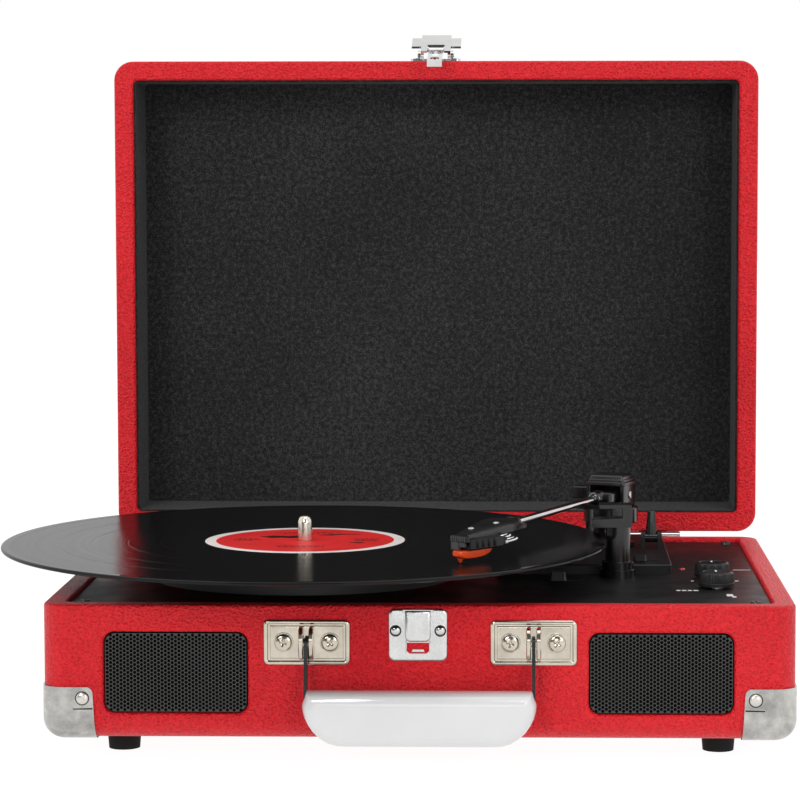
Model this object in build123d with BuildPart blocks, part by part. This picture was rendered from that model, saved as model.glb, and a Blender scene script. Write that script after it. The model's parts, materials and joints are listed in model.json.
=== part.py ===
from build123d import *
import math
import os

# Suitcase record player: a portable turntable in a hinged case covered in leatherette, open for
# play with a 12-inch record on it. Millimetres, +Z up. The row's origin is the middle of the whole
# object's footprint, on the surface that the feet stand on, so every piece is drawn on one of three
# planes that use the case's own directions: x to the right of the case's middle, y back from its
# front face, and z up from the rim of its base.
os.makedirs("parts", exist_ok=True)

# ---------------------------------------------------------------- driving dimensions
case_width = 356.0
case_depth = 261.0
base_height = 64.2
lid_height = 50.0
wall = 10.5
corner_radius = 10.5
shell_round = 9.0
rim_round = 1.5
floor_thickness = 6.0
lid_panel = 4.0
cavity_corner = 3.0
foot_height = 9.5
foot_x = 143.0
foot_y_front = 30.0
foot_y_back = 231.0

deck_drop = 2.0
deck_thickness = 2.5
deck_gap = 0.3
deck_screw_x = 160.0
deck_screw_y_front = 20.0
deck_screw_y_back = 242.0

record_radius = 150.8
record_thickness = 2.0
record_top = 19.1
label_radius = 50.0
label_thickness = 0.15
spindle_x = -60.0
spindle_y = 92.0
spindle_radius = 3.55
spindle_top = 31.5
platter_radius = 78.0
mat_thickness = 3.0
drive_rim_radius = 48.0
pulley_radius = 5.0
pulley_distance = 62.0
pulley_angle = 135.0
belt_width = 4.0
belt_thickness = 0.8
belt_gap = 0.3

pivot_x = 95.6
pivot_y = 195.0
arm_height = 31.0
arm_tube_radius = 1.9
stylus_x = 19.8
stylus_y = 6.1
stylus_gap = 0.3
rest_x = 97.0
rest_y = 113.0
platform_top = 3.0

grille_x = 114.5
grille_z = -32.35
grille_width = 68.0
grille_height = 38.5
grille_corner = 5.0
grille_front = 1.2
grille_thickness = 1.0
recess_slack = 0.2
recess_depth = 2.4
recess_lip = 1.4
window_margin = 3.0
bracket_x = 53.4
handle_x = 1.0
bracket_z = -17.5
handle_pin_y = -4.8
keeper_width = 27.6
guard_reach = 25.5
guard_thickness = 0.8
rivet_dome = 0.9
hinge_x = 121.0
hinge_width = 30.0
hinge_gap = 2.3
knuckle_radius = 2.1
hinge_pin_radius = 1.0
running_gap = 0.05
knob_x = 144.5
volume_knob_y = 75.0
tone_knob_y = 110.0

# ---------------------------------------------------------------- the row's origin
left_end = spindle_x - record_radius
right_end = case_width / 2 + guard_thickness + rivet_dome
front_end = spindle_y - record_radius
back_end = case_depth + hinge_gap + lid_height
origin_x = -(left_end + right_end) / 2
origin_y = -(front_end + back_end) / 2
origin_z = base_height + foot_height


def level(z):
    """A horizontal plane at height z: its x and y are the case's."""
    return Plane(origin=(origin_x, origin_y, origin_z + z))


def front(y):
    """An upright plane facing forwards, y back from the front face: its y is the case's z."""
    return Plane(origin=(origin_x, origin_y + y, origin_z), x_dir=(1, 0, 0), z_dir=(0, -1, 0))


def side(x):
    """An upright plane facing right, at x: its x and y are the case's y and z."""
    return Plane(origin=(origin_x + x, origin_y, origin_z), x_dir=(0, 1, 0), z_dir=(1, 0, 0))


def spot(x, y, z):
    """A horizontal plane centred on one point."""
    return Plane(origin=(origin_x + x, origin_y + y, origin_z + z))


def on_all_corners(x, y_front, y_back):
    """Four points, mirrored left and right."""
    return [(-x, y_front), (x, y_front), (-x, y_back), (x, y_back)]


def headed_fasteners(plane, points, head, head_height, shank, shank_length, slot=0.0):
    """Tapered heads on a plane with shanks behind it, and a cross recess where slot is given."""
    with BuildSketch(plane) as heads:
        with Locations(*points):
            Circle(head)
    extrude(heads.sketch, amount=head_height, taper=20)
    with BuildSketch(plane) as shanks:
        with Locations(*points):
            Circle(shank)
    extrude(shanks.sketch, amount=-shank_length)
    if slot:
        with BuildSketch(plane.offset(head_height)) as slots:
            with Locations(*points):
                Rectangle(slot, slot / 4)
                Rectangle(slot / 4, slot)
        extrude(slots.sketch, amount=-head_height / 2, mode=Mode.SUBTRACT)


def bores(plane, points, radius, depth):
    """Round holes cut backwards from a plane."""
    with BuildSketch(plane) as holes:
        with Locations(*points):
            Circle(radius)
    extrude(holes.sketch, amount=-depth, mode=Mode.SUBTRACT)


# ---------------------------------------------------------------- fasteners
cavity_width = case_width - 2 * wall
cavity_depth = case_depth - 2 * wall
deck_top = -deck_drop
deck_bottom = deck_top - deck_thickness
screw_shank = 1.5
shank_gap = 0.05
screw_radius = screw_shank - shank_gap
screw_clearance = 0.2
overrun = 1.0
bore_depth = 8.0
rivet_length = 6.0
foot_points = on_all_corners(foot_x, foot_y_front, foot_y_back)
deck_screw_points = on_all_corners(deck_screw_x, deck_screw_y_front, deck_screw_y_back)
bracket_screw_offset = 10.95
bracket_screw_points = [
    (handle_x + s * bracket_x + t * bracket_screw_offset, bracket_z) for s in (-1, 1) for t in (-1, 1)
]
keeper_rivet_points = [(-10.5, -11.8), (10.5, -11.8)]
guard_rivet_x = 158.7
guard_rivet_z = -44.5
guard_rivet_inset = case_width / 2 - guard_rivet_x
hinge_rivet_z = -9.5
hinge_rivet_points = [(s * hinge_x + t * 9.0, hinge_rivet_z) for s in (-1, 1) for t in (-1, 1)]
guard_front_points = [(-guard_rivet_x, guard_rivet_z), (guard_rivet_x, guard_rivet_z)]
guard_side_points = [(guard_rivet_inset, guard_rivet_z), (case_depth - guard_rivet_inset, guard_rivet_z)]

power_jack_x = -130.0
rca_x = (-96.0, -82.0)
headphone_x = -50.0
jack_z = -34.0
power_jack_radius = 5.5
rca_radius = 4.6
headphone_radius = 4.0

# ---------------------------------------------------------------- base shell
post_size = 15.0
with BuildPart() as base_shell:
    with BuildSketch(level(-base_height)):
        with Locations((0, case_depth / 2)):
            RectangleRounded(case_width, case_depth, corner_radius)
    extrude(amount=base_height)
    fillet(base_shell.faces().sort_by(Axis.Z)[0].edges(), shell_round)
    with BuildSketch(level(0)):
        with Locations((0, case_depth / 2)):
            RectangleRounded(cavity_width, cavity_depth, cavity_corner)
    extrude(amount=-(base_height - floor_thickness), mode=Mode.SUBTRACT)
    fillet(base_shell.faces().sort_by(Axis.Z)[-1].edges(), rim_round)
    # four posts carry the deck at its screws
    with BuildSketch(level(-base_height + floor_thickness)):
        with Locations(*deck_screw_points):
            Rectangle(post_size, post_size)
    extrude(amount=base_height - floor_thickness + deck_bottom)
    # a window and a shallow recess for each speaker grille
    with BuildSketch(front(0)):
        with Locations((-grille_x, grille_z), (grille_x, grille_z)):
            RectangleRounded(
                grille_width - 2 * window_margin,
                grille_height - 2 * window_margin,
                grille_corner - window_margin / 2,
            )
    extrude(amount=-(wall + overrun), mode=Mode.SUBTRACT)
    with BuildSketch(front(0)):
        with Locations((-grille_x, grille_z), (grille_x, grille_z)):
            RectangleRounded(
                grille_width + 2 * recess_slack,
                grille_height + 2 * recess_slack,
                grille_corner + recess_slack,
            )
    extrude(amount=-recess_depth, mode=Mode.SUBTRACT)
    # the covering wraps over the recesses' front edges
    front_edges = base_shell.edges().filter_by_position(Axis.Y, origin_y - 0.01, origin_y + 0.01)
    recess_reach = grille_width / 2 + overrun
    for end in (-1, 1):
        recess_middle = origin_x + end * grille_x
        recess_edges = front_edges.filter_by_position(
            Axis.X, recess_middle - recess_reach, recess_middle + recess_reach
        )
        fillet(recess_edges, recess_lip)
    bores(level(deck_bottom), deck_screw_points, screw_shank, bore_depth + 2)
    bores(level(-base_height + floor_thickness), foot_points, screw_shank, floor_thickness + overrun)
    bores(front(0), bracket_screw_points + keeper_rivet_points, screw_shank, bore_depth)
    bores(front(0), guard_front_points, screw_shank, bore_depth)
    bores(front(case_depth + overrun), guard_front_points + hinge_rivet_points, screw_shank, -bore_depth)
    for end in (-1, 1):
        with BuildSketch(side(end * (case_width / 2 - bore_depth + overrun))):
            with Locations(*guard_side_points):
                Circle(screw_shank)
        extrude(amount=end * (bore_depth + overrun), mode=Mode.SUBTRACT)
    # jack holes through the back wall
    with BuildSketch(front(case_depth + overrun)):
        with Locations((power_jack_x, jack_z)):
            Circle(power_jack_radius + screw_clearance)
        with Locations((rca_x[0], jack_z), (rca_x[1], jack_z)):
            Circle(rca_radius + screw_clearance)
        with Locations((headphone_x, jack_z)):
            Circle(headphone_radius + screw_clearance)
    extrude(amount=wall + 2 * overrun, mode=Mode.SUBTRACT)
base_shell.part.label = "base_shell"
export_step(base_shell.part, "parts/base_shell.step")

# ---------------------------------------------------------------- feet
foot_radius = 8.3
foot_taper = 5.0
foot_recess = 3.0
foot_recess_radius = 3.2
foot_screw_head = 2.8
foot_screw_head_height = 1.6
with BuildPart() as feet:
    with BuildSketch(level(-base_height)):
        with Locations(*foot_points):
            Circle(foot_radius)
    extrude(amount=-foot_height, taper=foot_taper)
    bores(
        level(-base_height - foot_height + foot_recess),
        foot_points,
        foot_recess_radius,
        foot_recess + overrun,
    )
    bores(
        level(-base_height + overrun),
        foot_points,
        screw_shank + screw_clearance,
        foot_height + 2 * overrun,
    )
feet.part.label = "feet"
export_step(feet.part, "parts/feet.step")

with BuildPart() as foot_screws:
    with BuildSketch(level(-base_height - foot_height + foot_recess)):
        with Locations(*foot_points):
            Circle(foot_screw_head)
    extrude(amount=-foot_screw_head_height)
    with BuildSketch(level(-base_height - foot_height + foot_recess)):
        with Locations(*foot_points):
            Circle(screw_radius)
    extrude(amount=foot_height - foot_recess + floor_thickness - 0.5)
foot_screws.part.label = "foot_screws"
export_step(foot_screws.part, "parts/foot_screws.step")

# ---------------------------------------------------------------- corner guards
guard_top = -39.2
guard_reach_top = 24.0
guard_corner = 3.0
guard_margin = 5.0
guard_bottom = -base_height - guard_thickness
with BuildPart() as corner_guards:
    with BuildSketch(level(guard_bottom)):
        with Locations((0, case_depth / 2)):
            RectangleRounded(
                case_width + 2 * guard_thickness,
                case_depth + 2 * guard_thickness,
                corner_radius + guard_thickness,
            )
    extrude(amount=guard_top - guard_bottom)
    fillet(corner_guards.faces().sort_by(Axis.Z)[0].edges(), shell_round + guard_thickness)
    # only the four corners stay, and their inner edges lean outwards towards the base
    for plane, start, end, cut in (
        (front(-guard_margin), -case_width / 2, case_width / 2, -case_depth - 2 * guard_margin),
        (side(-case_width / 2 - guard_margin), 0, case_depth, case_width + 2 * guard_margin),
    ):
        with BuildSketch(plane):
            with BuildLine():
                Polyline(
                    (start + guard_reach_top, guard_top + overrun),
                    (start + guard_reach, guard_bottom - overrun),
                    (end - guard_reach, guard_bottom - overrun),
                    (end - guard_reach_top, guard_top + overrun),
                    close=True,
                )
            make_face()
        extrude(amount=cut, mode=Mode.SUBTRACT)
    # the case's own rounded outline is cut out of them
    with BuildSketch(level(0)):
        with Locations((0, case_depth / 2)):
            RectangleRounded(case_width, case_depth, corner_radius)
    case_block = extrude(amount=-base_height, mode=Mode.PRIVATE)
    case_block = case_block.fillet(shell_round, case_block.faces().sort_by(Axis.Z)[0].edges())
    add(case_block, mode=Mode.SUBTRACT)
    inner_corners = [
        edge
        for edge in corner_guards.edges().filter_by(GeomType.LINE)
        if edge.length < guard_thickness + overrun
        and edge.center().Z > origin_z + guard_top - overrun
        and abs(edge.tangent_at(0).Z) < 0.1
    ]
    fillet(inner_corners, guard_corner)
    for y in (-1, case_depth - 7):
        with BuildSketch(front(y)):
            with Locations(*guard_front_points):
                Circle(screw_shank)
        extrude(amount=-8, mode=Mode.SUBTRACT)
    for end in (-1, 1):
        with BuildSketch(side(end * (case_width / 2 - bore_depth + overrun))):
            with Locations(*guard_side_points):
                Circle(screw_shank)
        extrude(amount=end * (bore_depth + overrun), mode=Mode.SUBTRACT)
corner_guards.part.label = "corner_guards"
export_step(corner_guards.part, "parts/corner_guards.step")

# ---------------------------------------------------------------- rivets of the base
rivet_head = 2.9
hinge_rivet_head = 2.4
latch_rivet_head = 2.2
latch_rivet_dome = 0.7
leaf_thickness = 0.9
keeper_thickness = 1.2
back_face = Plane(
    origin=(origin_x, origin_y + case_depth, origin_z), x_dir=(-1, 0, 0), z_dir=(0, 1, 0)
)
with BuildPart() as case_rivets:
    headed_fasteners(
        front(-guard_thickness), guard_front_points, rivet_head, rivet_dome, screw_radius, rivet_length
    )
    headed_fasteners(
        back_face.offset(guard_thickness),
        guard_front_points,
        rivet_head,
        rivet_dome,
        screw_radius,
        rivet_length,
    )
    headed_fasteners(
        back_face.offset(leaf_thickness),
        hinge_rivet_points,
        hinge_rivet_head,
        rivet_dome,
        screw_radius,
        rivet_length,
    )
    headed_fasteners(
        front(-keeper_thickness),
        keeper_rivet_points,
        latch_rivet_head,
        rivet_dome,
        screw_radius,
        rivet_length,
    )
    for end in (-1, 1):
        side_plane = Plane(
            origin=(origin_x + end * (case_width / 2 + guard_thickness), origin_y, origin_z),
            x_dir=(0, end, 0),
            z_dir=(end, 0, 0),
        )
        side_points = [(end * y, z) for y, z in guard_side_points]
        headed_fasteners(
            side_plane, side_points, rivet_head, rivet_dome, screw_radius, rivet_length
        )
case_rivets.part.label = "case_rivets"
export_step(case_rivets.part, "parts/case_rivets.step")

# ---------------------------------------------------------------- deck
pulley_x = spindle_x + pulley_distance * math.cos(math.radians(pulley_angle))
pulley_y = spindle_y + pulley_distance * math.sin(math.radians(pulley_angle))
bearing_radius = 8.0
speed_x = 72.7
speed_y = 98.0
speed_travel = 12.0
led_x = 131.0
led_y = 140.0
led_radius = 1.5
pot_bush = 3.4
arc_radius = 35.0
arm_angle = math.atan2(stylus_y - pivot_y, stylus_x - pivot_x)
park_swing = 21.9
label_swing = 18.5
stem_angle = arm_angle + math.radians((park_swing - label_swing) / 2)
stem_x = pivot_x + arc_radius * math.cos(stem_angle)
stem_y = pivot_y + arc_radius * math.sin(stem_angle)
stem_radius = 2.0
pulley_hole = 8.0
pivot_hole = 7.0
switch_slot = 3.0
switch_slot_ends = 7.0
deck_screw_head = 2.85
deck_screw_head_height = 1.4
deck_screw_slot = 3.4
with BuildPart() as deck_panel:
    with BuildSketch(level(deck_bottom)):
        with Locations((0, case_depth / 2)):
            RectangleRounded(cavity_width - 2 * deck_gap, cavity_depth - 2 * deck_gap, cavity_corner)
        with Locations((spindle_x, spindle_y)):
            Circle(bearing_radius + screw_clearance, mode=Mode.SUBTRACT)
        with Locations((pulley_x, pulley_y)):
            Circle(pulley_hole, mode=Mode.SUBTRACT)
        with Locations((pivot_x, pivot_y)):
            Circle(pivot_hole, mode=Mode.SUBTRACT)
        with Locations(*deck_screw_points):
            Circle(screw_shank + screw_clearance, mode=Mode.SUBTRACT)
        with Locations((knob_x, volume_knob_y), (knob_x, tone_knob_y)):
            Circle(pot_bush + screw_clearance / 2, mode=Mode.SUBTRACT)
        with Locations((led_x, led_y)):
            Circle(led_radius + running_gap, mode=Mode.SUBTRACT)
        with Locations((stem_x, stem_y)):
            Circle(stem_radius + screw_clearance, mode=Mode.SUBTRACT)
        with Locations((speed_x, speed_y)):
            SlotOverall(speed_travel + switch_slot_ends, switch_slot, mode=Mode.SUBTRACT)
    extrude(amount=deck_thickness)
deck_panel.part.label = "deck_panel"
export_step(deck_panel.part, "parts/deck_panel.step")

with BuildPart() as deck_screws:
    headed_fasteners(
        level(deck_top),
        deck_screw_points,
        deck_screw_head,
        deck_screw_head_height,
        screw_radius,
        bore_depth + 1,
        slot=deck_screw_slot,
    )
deck_screws.part.label = "deck_screws"
export_step(deck_screws.part, "parts/deck_screws.step")

# ---------------------------------------------------------------- speakers
basket_flange = 1.2
basket_depth = 12.0
basket_radius = 20.0
basket_bore = 18.5
basket_tail = 6.0
basket_long = 72.0
basket_short = 45.0
cone_front = wall + basket_flange
cone_rim = 18.2
cone_neck = 7.0
cone_depth = 9.0
cone_paper = 1.2
magnet_radius = 16.0
magnet_depth = 9.0
perforation_pitch = 4.4
perforation_radius = 1.1
perforation_columns = 14
perforation_rows = 7
for end, name in ((-1, "grille_left"), (1, "grille_right")):
    with BuildPart() as grille:
        with BuildSketch(front(grille_front)):
            with Locations((end * grille_x, grille_z)):
                RectangleRounded(grille_width, grille_height, grille_corner)
                with GridLocations(
                    perforation_pitch, perforation_pitch, perforation_columns, perforation_rows
                ):
                    Circle(perforation_radius, mode=Mode.SUBTRACT)
        extrude(amount=-grille_thickness)
    grille.part.label = name
    export_step(grille.part, f"parts/{name}.step")

with BuildPart() as speaker_baskets:
    for end in (-1, 1):
        with BuildSketch(front(wall)):
            with Locations((end * grille_x, grille_z)):
                SlotOverall(basket_long, basket_short)
                Circle(basket_bore, mode=Mode.SUBTRACT)
        extrude(amount=-basket_flange)
        with BuildSketch(front(cone_front)):
            with Locations((end * grille_x, grille_z)):
                Circle(basket_radius)
                Circle(basket_bore, mode=Mode.SUBTRACT)
        extrude(amount=-basket_depth)
        with BuildSketch(front(cone_front + basket_depth)):
            with Locations((end * grille_x, grille_z)):
                Circle(basket_radius)
                Circle(basket_tail, mode=Mode.SUBTRACT)
        extrude(amount=-basket_flange)
speaker_baskets.part.label = "speaker_baskets"
export_step(speaker_baskets.part, "parts/speaker_baskets.step")

with BuildPart() as speaker_cones:
    for end in (-1, 1):
        cone_axis = Axis((origin_x + end * grille_x, origin_y, origin_z + grille_z), (0, 1, 0))
        with BuildSketch(side(end * grille_x)):
            with BuildLine():
                Polyline(
                    (cone_front, grille_z + cone_rim),
                    (cone_front + cone_depth, grille_z + cone_neck),
                    (cone_front + cone_depth - 2, grille_z),
                    (cone_front + cone_depth - 1, grille_z),
                    (cone_front + cone_depth + cone_paper, grille_z + cone_neck),
                    (cone_front + cone_paper, grille_z + cone_rim),
                    close=True,
                )
            make_face()
        revolve(axis=cone_axis, revolution_arc=360)
speaker_cones.part.label = "speaker_cones"
export_step(speaker_cones.part, "parts/speaker_cones.step")

with BuildPart() as speaker_magnets:
    with BuildSketch(front(cone_front + basket_depth + basket_flange)):
        with Locations((-grille_x, grille_z), (grille_x, grille_z)):
            Circle(magnet_radius)
    extrude(amount=-magnet_depth)
    chamfer(speaker_magnets.edges().group_by(Axis.Y)[-1], 0.8)
speaker_magnets.part.label = "speaker_magnets"
export_step(speaker_magnets.part, "parts/speaker_magnets.step")

# ---------------------------------------------------------------- handle
bracket_width = 40.8
bracket_height = 21.6
bracket_thickness = 1.4
bracket_corner = 2.0
bracket_border = 2.7
bracket_groove = 0.8
bracket_groove_depth = 0.5
bracket_screw_head = 4.1
bracket_screw_height = 2.0
bracket_screw_slot = 4.6
strap_thickness = 1.6
strap_gap = 0.4
ear_top = -9.6
ear_bottom = -25.3
ear_nose_top = -13.4
ear_nose_bottom = -21.5
ear_slant = 0.6
ear_reach = 8.4
ear_width = 6.9
handle_pin_radius = 1.2
pin_inset = 0.2
with BuildPart() as handle_brackets:
    with BuildSketch(front(0)):
        with Locations((handle_x - bracket_x, bracket_z), (handle_x + bracket_x, bracket_z)):
            RectangleRounded(bracket_width, bracket_height, bracket_corner)
    extrude(amount=bracket_thickness, taper=30)
    # a groove runs round each plate inside its border
    with BuildSketch(front(-bracket_thickness)):
        with Locations((handle_x - bracket_x, bracket_z), (handle_x + bracket_x, bracket_z)):
            RectangleRounded(
                bracket_width - 2 * bracket_border, bracket_height - 2 * bracket_border, 1.5
            )
            RectangleRounded(
                bracket_width - 2 * (bracket_border + bracket_groove),
                bracket_height - 2 * (bracket_border + bracket_groove),
                1,
                mode=Mode.SUBTRACT,
            )
    extrude(amount=-bracket_groove_depth, mode=Mode.SUBTRACT)
    # two ears hold the pin, with the strap between them
    for end in (-1, 1):
        with BuildSketch(side(handle_x + end * bracket_x - ear_width / 2)):
            with BuildLine():
                Polyline(
                    (0, ear_top),
                    (handle_pin_y - ear_slant, ear_top),
                    (-ear_reach, ear_nose_top),
                    (-ear_reach, ear_nose_bottom),
                    (handle_pin_y - ear_slant, ear_bottom),
                    (0, ear_bottom),
                    close=True,
                )
            make_face()
        extrude(amount=ear_width)
        with BuildSketch(side(handle_x + end * bracket_x - strap_thickness / 2 - strap_gap)):
            with Locations((-6.4, bracket_z)):
                Rectangle(10, 20)
        extrude(amount=strap_thickness + 2 * strap_gap, mode=Mode.SUBTRACT)
        with BuildSketch(side(handle_x + end * bracket_x - ear_width / 2)):
            with Locations((handle_pin_y, bracket_z)):
                Circle(handle_pin_radius + running_gap)
        extrude(amount=ear_width, mode=Mode.SUBTRACT)
    bores(front(-ear_reach), bracket_screw_points, screw_shank + 0.1, ear_reach + overrun)
handle_brackets.part.label = "handle_brackets"
export_step(handle_brackets.part, "parts/handle_brackets.step")

with BuildPart() as bracket_screws:
    headed_fasteners(
        front(-bracket_thickness),
        bracket_screw_points,
        bracket_screw_head,
        bracket_screw_height,
        screw_radius,
        bore_depth,
        slot=bracket_screw_slot,
    )
bracket_screws.part.label = "bracket_screws"
export_step(bracket_screws.part, "parts/bracket_screws.step")

grip_half = 54.8
grip_top = -38.7
grip_bottom = -64.0
grip_front = -20.0
grip_back = -2.4
grip_shoulder = 4.0
grip_curve = 22.0
grip_round = 3.0
strap_end_y = -10.5
strap_end_z = -46.0
strap_radius = 3.0
with BuildPart() as handle_grip:
    with BuildSketch(front(grip_front) * Pos(handle_x, 0)):
        with BuildLine():
            Line((-grip_half, grip_top), (grip_half, grip_top))
            Line((grip_half, grip_top), (grip_half, grip_top - grip_shoulder))
            Spline(
                (grip_half, grip_top - grip_shoulder),
                (grip_half - 5, grip_bottom + 8),
                (grip_half - grip_curve, grip_bottom),
                tangents=((0, -1), (-1, 0)),
            )
            Line((grip_half - grip_curve, grip_bottom), (grip_curve - grip_half, grip_bottom))
            Spline(
                (grip_curve - grip_half, grip_bottom),
                (5 - grip_half, grip_bottom + 8),
                (-grip_half, grip_top - grip_shoulder),
                tangents=((-1, 0), (0, 1)),
            )
            Line((-grip_half, grip_top - grip_shoulder), (-grip_half, grip_top))
        make_face()
    extrude(amount=-(grip_back - grip_front))
    fillet(handle_grip.faces().sort_by(Axis.Y)[0].edges(), grip_round)
    for end in (-1, 1):
        with BuildSketch(side(handle_x + end * bracket_x - strap_thickness / 2)):
            with BuildLine():
                Polyline(
                    (strap_end_y - strap_radius, strap_end_z),
                    (strap_end_y + strap_radius, strap_end_z),
                    (strap_end_y + strap_radius + 3, grip_top + 1),
                    (strap_end_y - strap_radius, grip_top + 1),
                    close=True,
                )
            make_face()
            with Locations((strap_end_y, strap_end_z)):
                Circle(strap_radius)
        extrude(amount=strap_thickness, mode=Mode.SUBTRACT)
handle_grip.part.label = "handle_grip"
export_step(handle_grip.part, "parts/handle_grip.step")

with BuildPart() as handle_straps:
    for end in (-1, 1):
        with BuildSketch(side(handle_x + end * bracket_x - strap_thickness / 2)):
            with Locations((handle_pin_y, bracket_z), (strap_end_y, strap_end_z)):
                Circle(strap_radius - 0.1)
            make_hull()
            with Locations((handle_pin_y, bracket_z)):
                Circle(handle_pin_radius, mode=Mode.SUBTRACT)
        extrude(amount=strap_thickness)
handle_straps.part.label = "handle_straps"
export_step(handle_straps.part, "parts/handle_straps.step")

with BuildPart() as handle_pins:
    for end in (-1, 1):
        with BuildSketch(side(handle_x + end * bracket_x - ear_width / 2 + pin_inset)):
            with Locations((handle_pin_y, bracket_z)):
                Circle(handle_pin_radius)
        extrude(amount=ear_width - 2 * pin_inset)
handle_pins.part.label = "handle_pins"
export_step(handle_pins.part, "parts/handle_pins.step")

# ---------------------------------------------------------------- keeper plate of the latch
keeper_height = 24.9
keeper_z = -13.85
latch_corner = 2.5
tongue_width = 12.1
tongue_height = 14.7
tongue_z = -9.75
tongue_rise = 2.0
window_width = 10.7
window_height = 5.3
window_z = -19.95
window_floor = 0.3
with BuildPart() as keeper_plate:
    with BuildSketch(front(0)):
        with Locations((0, keeper_z)):
            RectangleRounded(keeper_width, keeper_height, latch_corner)
    extrude(amount=keeper_thickness)
    # the raised tongue that the latch's hook pulls on, and the window under it
    with BuildSketch(front(-keeper_thickness)):
        with Locations((0, tongue_z)):
            RectangleRounded(tongue_width, tongue_height, 1)
    extrude(amount=tongue_rise, taper=12)
    with BuildSketch(front(-keeper_thickness)):
        with Locations((0, window_z)):
            RectangleRounded(window_width, window_height, 1)
    extrude(amount=-keeper_thickness + window_floor, mode=Mode.SUBTRACT)
    bores(front(-keeper_thickness), keeper_rivet_points, screw_shank, keeper_thickness)
keeper_plate.part.label = "keeper_plate"
export_step(keeper_plate.part, "parts/keeper_plate.step")

# ---------------------------------------------------------------- hinges
lid_rim_y = case_depth + hinge_gap
knuckle_half = 7.9
leaf_depth = 15.0
leaf_corner = 1.5
lid_leaf_start = 2.4
knuckle_gap = 0.2
with BuildPart() as base_hinge_leaves:
    for end in (-1, 1):
        with BuildSketch(front(case_depth)):
            with Locations((end * hinge_x, -hinge_gap - (leaf_depth - hinge_gap) / 2)):
                RectangleRounded(hinge_width, leaf_depth - hinge_gap, leaf_corner)
            for t in (-1, 1):
                with Locations((end * hinge_x + t * (hinge_width / 2 + knuckle_half) / 2, -2)):
                    Rectangle(hinge_width / 2 - knuckle_half, 4)
        extrude(amount=-leaf_thickness)
        for x in (end * hinge_x - hinge_width / 2, end * hinge_x + knuckle_half):
            with BuildSketch(side(x)):
                with Locations((lid_rim_y, 0)):
                    Circle(knuckle_radius)
            extrude(amount=hinge_width / 2 - knuckle_half)
        with BuildSketch(side(end * hinge_x - hinge_width / 2)):
            with Locations((lid_rim_y, 0)):
                Circle(hinge_pin_radius)
        extrude(amount=hinge_width, mode=Mode.SUBTRACT)
    bores(front(case_depth - overrun), hinge_rivet_points, screw_shank, 4)
base_hinge_leaves.part.label = "base_hinge_leaves"
export_step(base_hinge_leaves.part, "parts/base_hinge_leaves.step")

lid_rivet_y = lid_rim_y + 9.5
lid_hinge_rivet_points = [(s * hinge_x + t * 9.0, lid_rivet_y) for s in (-1, 1) for t in (-1, 1)]
with BuildPart() as lid_hinge_leaves:
    for end in (-1, 1):
        with BuildSketch(level(hinge_gap - leaf_thickness)):
            with Locations((end * hinge_x, lid_rim_y + (leaf_depth + lid_leaf_start) / 2)):
                RectangleRounded(hinge_width, leaf_depth - lid_leaf_start, leaf_corner)
            with Locations((end * hinge_x, lid_rim_y + 2)):
                Rectangle(2 * (knuckle_half - knuckle_gap), 4)
        extrude(amount=leaf_thickness)
        with BuildSketch(side(end * hinge_x - knuckle_half + knuckle_gap)):
            with Locations((lid_rim_y, 0)):
                Circle(knuckle_radius)
        extrude(amount=2 * (knuckle_half - knuckle_gap))
        with BuildSketch(side(end * hinge_x - hinge_width / 2)):
            with Locations((lid_rim_y, 0)):
                Circle(hinge_pin_radius + running_gap)
        extrude(amount=hinge_width, mode=Mode.SUBTRACT)
    bores(level(hinge_gap + overrun), lid_hinge_rivet_points, screw_shank, 4)
lid_hinge_leaves.part.label = "lid_hinge_leaves"
export_step(lid_hinge_leaves.part, "parts/lid_hinge_leaves.step")

with BuildPart() as hinge_pins:
    for end in (-1, 1):
        with BuildSketch(side(end * hinge_x - hinge_width / 2)):
            with Locations((lid_rim_y, 0)):
                Circle(hinge_pin_radius)
        extrude(amount=hinge_width)
hinge_pins.part.label = "hinge_pins"
export_step(hinge_pins.part, "parts/hinge_pins.step")

# ---------------------------------------------------------------- lid
lid_middle_z = hinge_gap + case_depth / 2
lid_top_z = hinge_gap + case_depth
latch_back = 33.0
latch_rivet_points = [(s * 10.6, lid_rim_y + y) for s in (-1, 1) for y in (13.5, 29.0)]
with BuildPart() as lid_shell:
    with BuildSketch(front(lid_rim_y)):
        with Locations((0, lid_middle_z)):
            RectangleRounded(case_width, case_depth, corner_radius)
    extrude(amount=-lid_height)
    fillet(lid_shell.faces().sort_by(Axis.Y)[-1].edges(), shell_round)
    with BuildSketch(front(lid_rim_y)):
        with Locations((0, lid_middle_z)):
            RectangleRounded(cavity_width, cavity_depth, cavity_corner)
    extrude(amount=-(lid_height - lid_panel), mode=Mode.SUBTRACT)
    fillet(lid_shell.faces().sort_by(Axis.Y)[0].edges(), rim_round)
    bores(level(hinge_gap + bore_depth - overrun), lid_hinge_rivet_points, screw_shank, bore_depth)
    bores(level(lid_top_z + overrun), latch_rivet_points, screw_shank, bore_depth)
lid_shell.part.label = "lid_shell"
export_step(lid_shell.part, "parts/lid_shell.step")

lining_thickness = 1.0
lining_inset = 3.0
lining_depth = lid_height - lid_panel - lining_inset
with BuildPart() as lid_lining:
    with BuildSketch(front(lid_rim_y + lining_inset)):
        with Locations((0, lid_middle_z)):
            RectangleRounded(cavity_width, cavity_depth, cavity_corner)
    extrude(amount=-lining_depth)
    with BuildSketch(front(lid_rim_y + lining_inset)):
        with Locations((0, lid_middle_z)):
            RectangleRounded(
                cavity_width - 2 * lining_thickness,
                cavity_depth - 2 * lining_thickness,
                cavity_corner - lining_thickness,
            )
    extrude(amount=-(lining_depth - lining_thickness), mode=Mode.SUBTRACT)
lid_lining.part.label = "lid_lining"
export_step(lid_lining.part, "parts/lid_lining.step")

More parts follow.
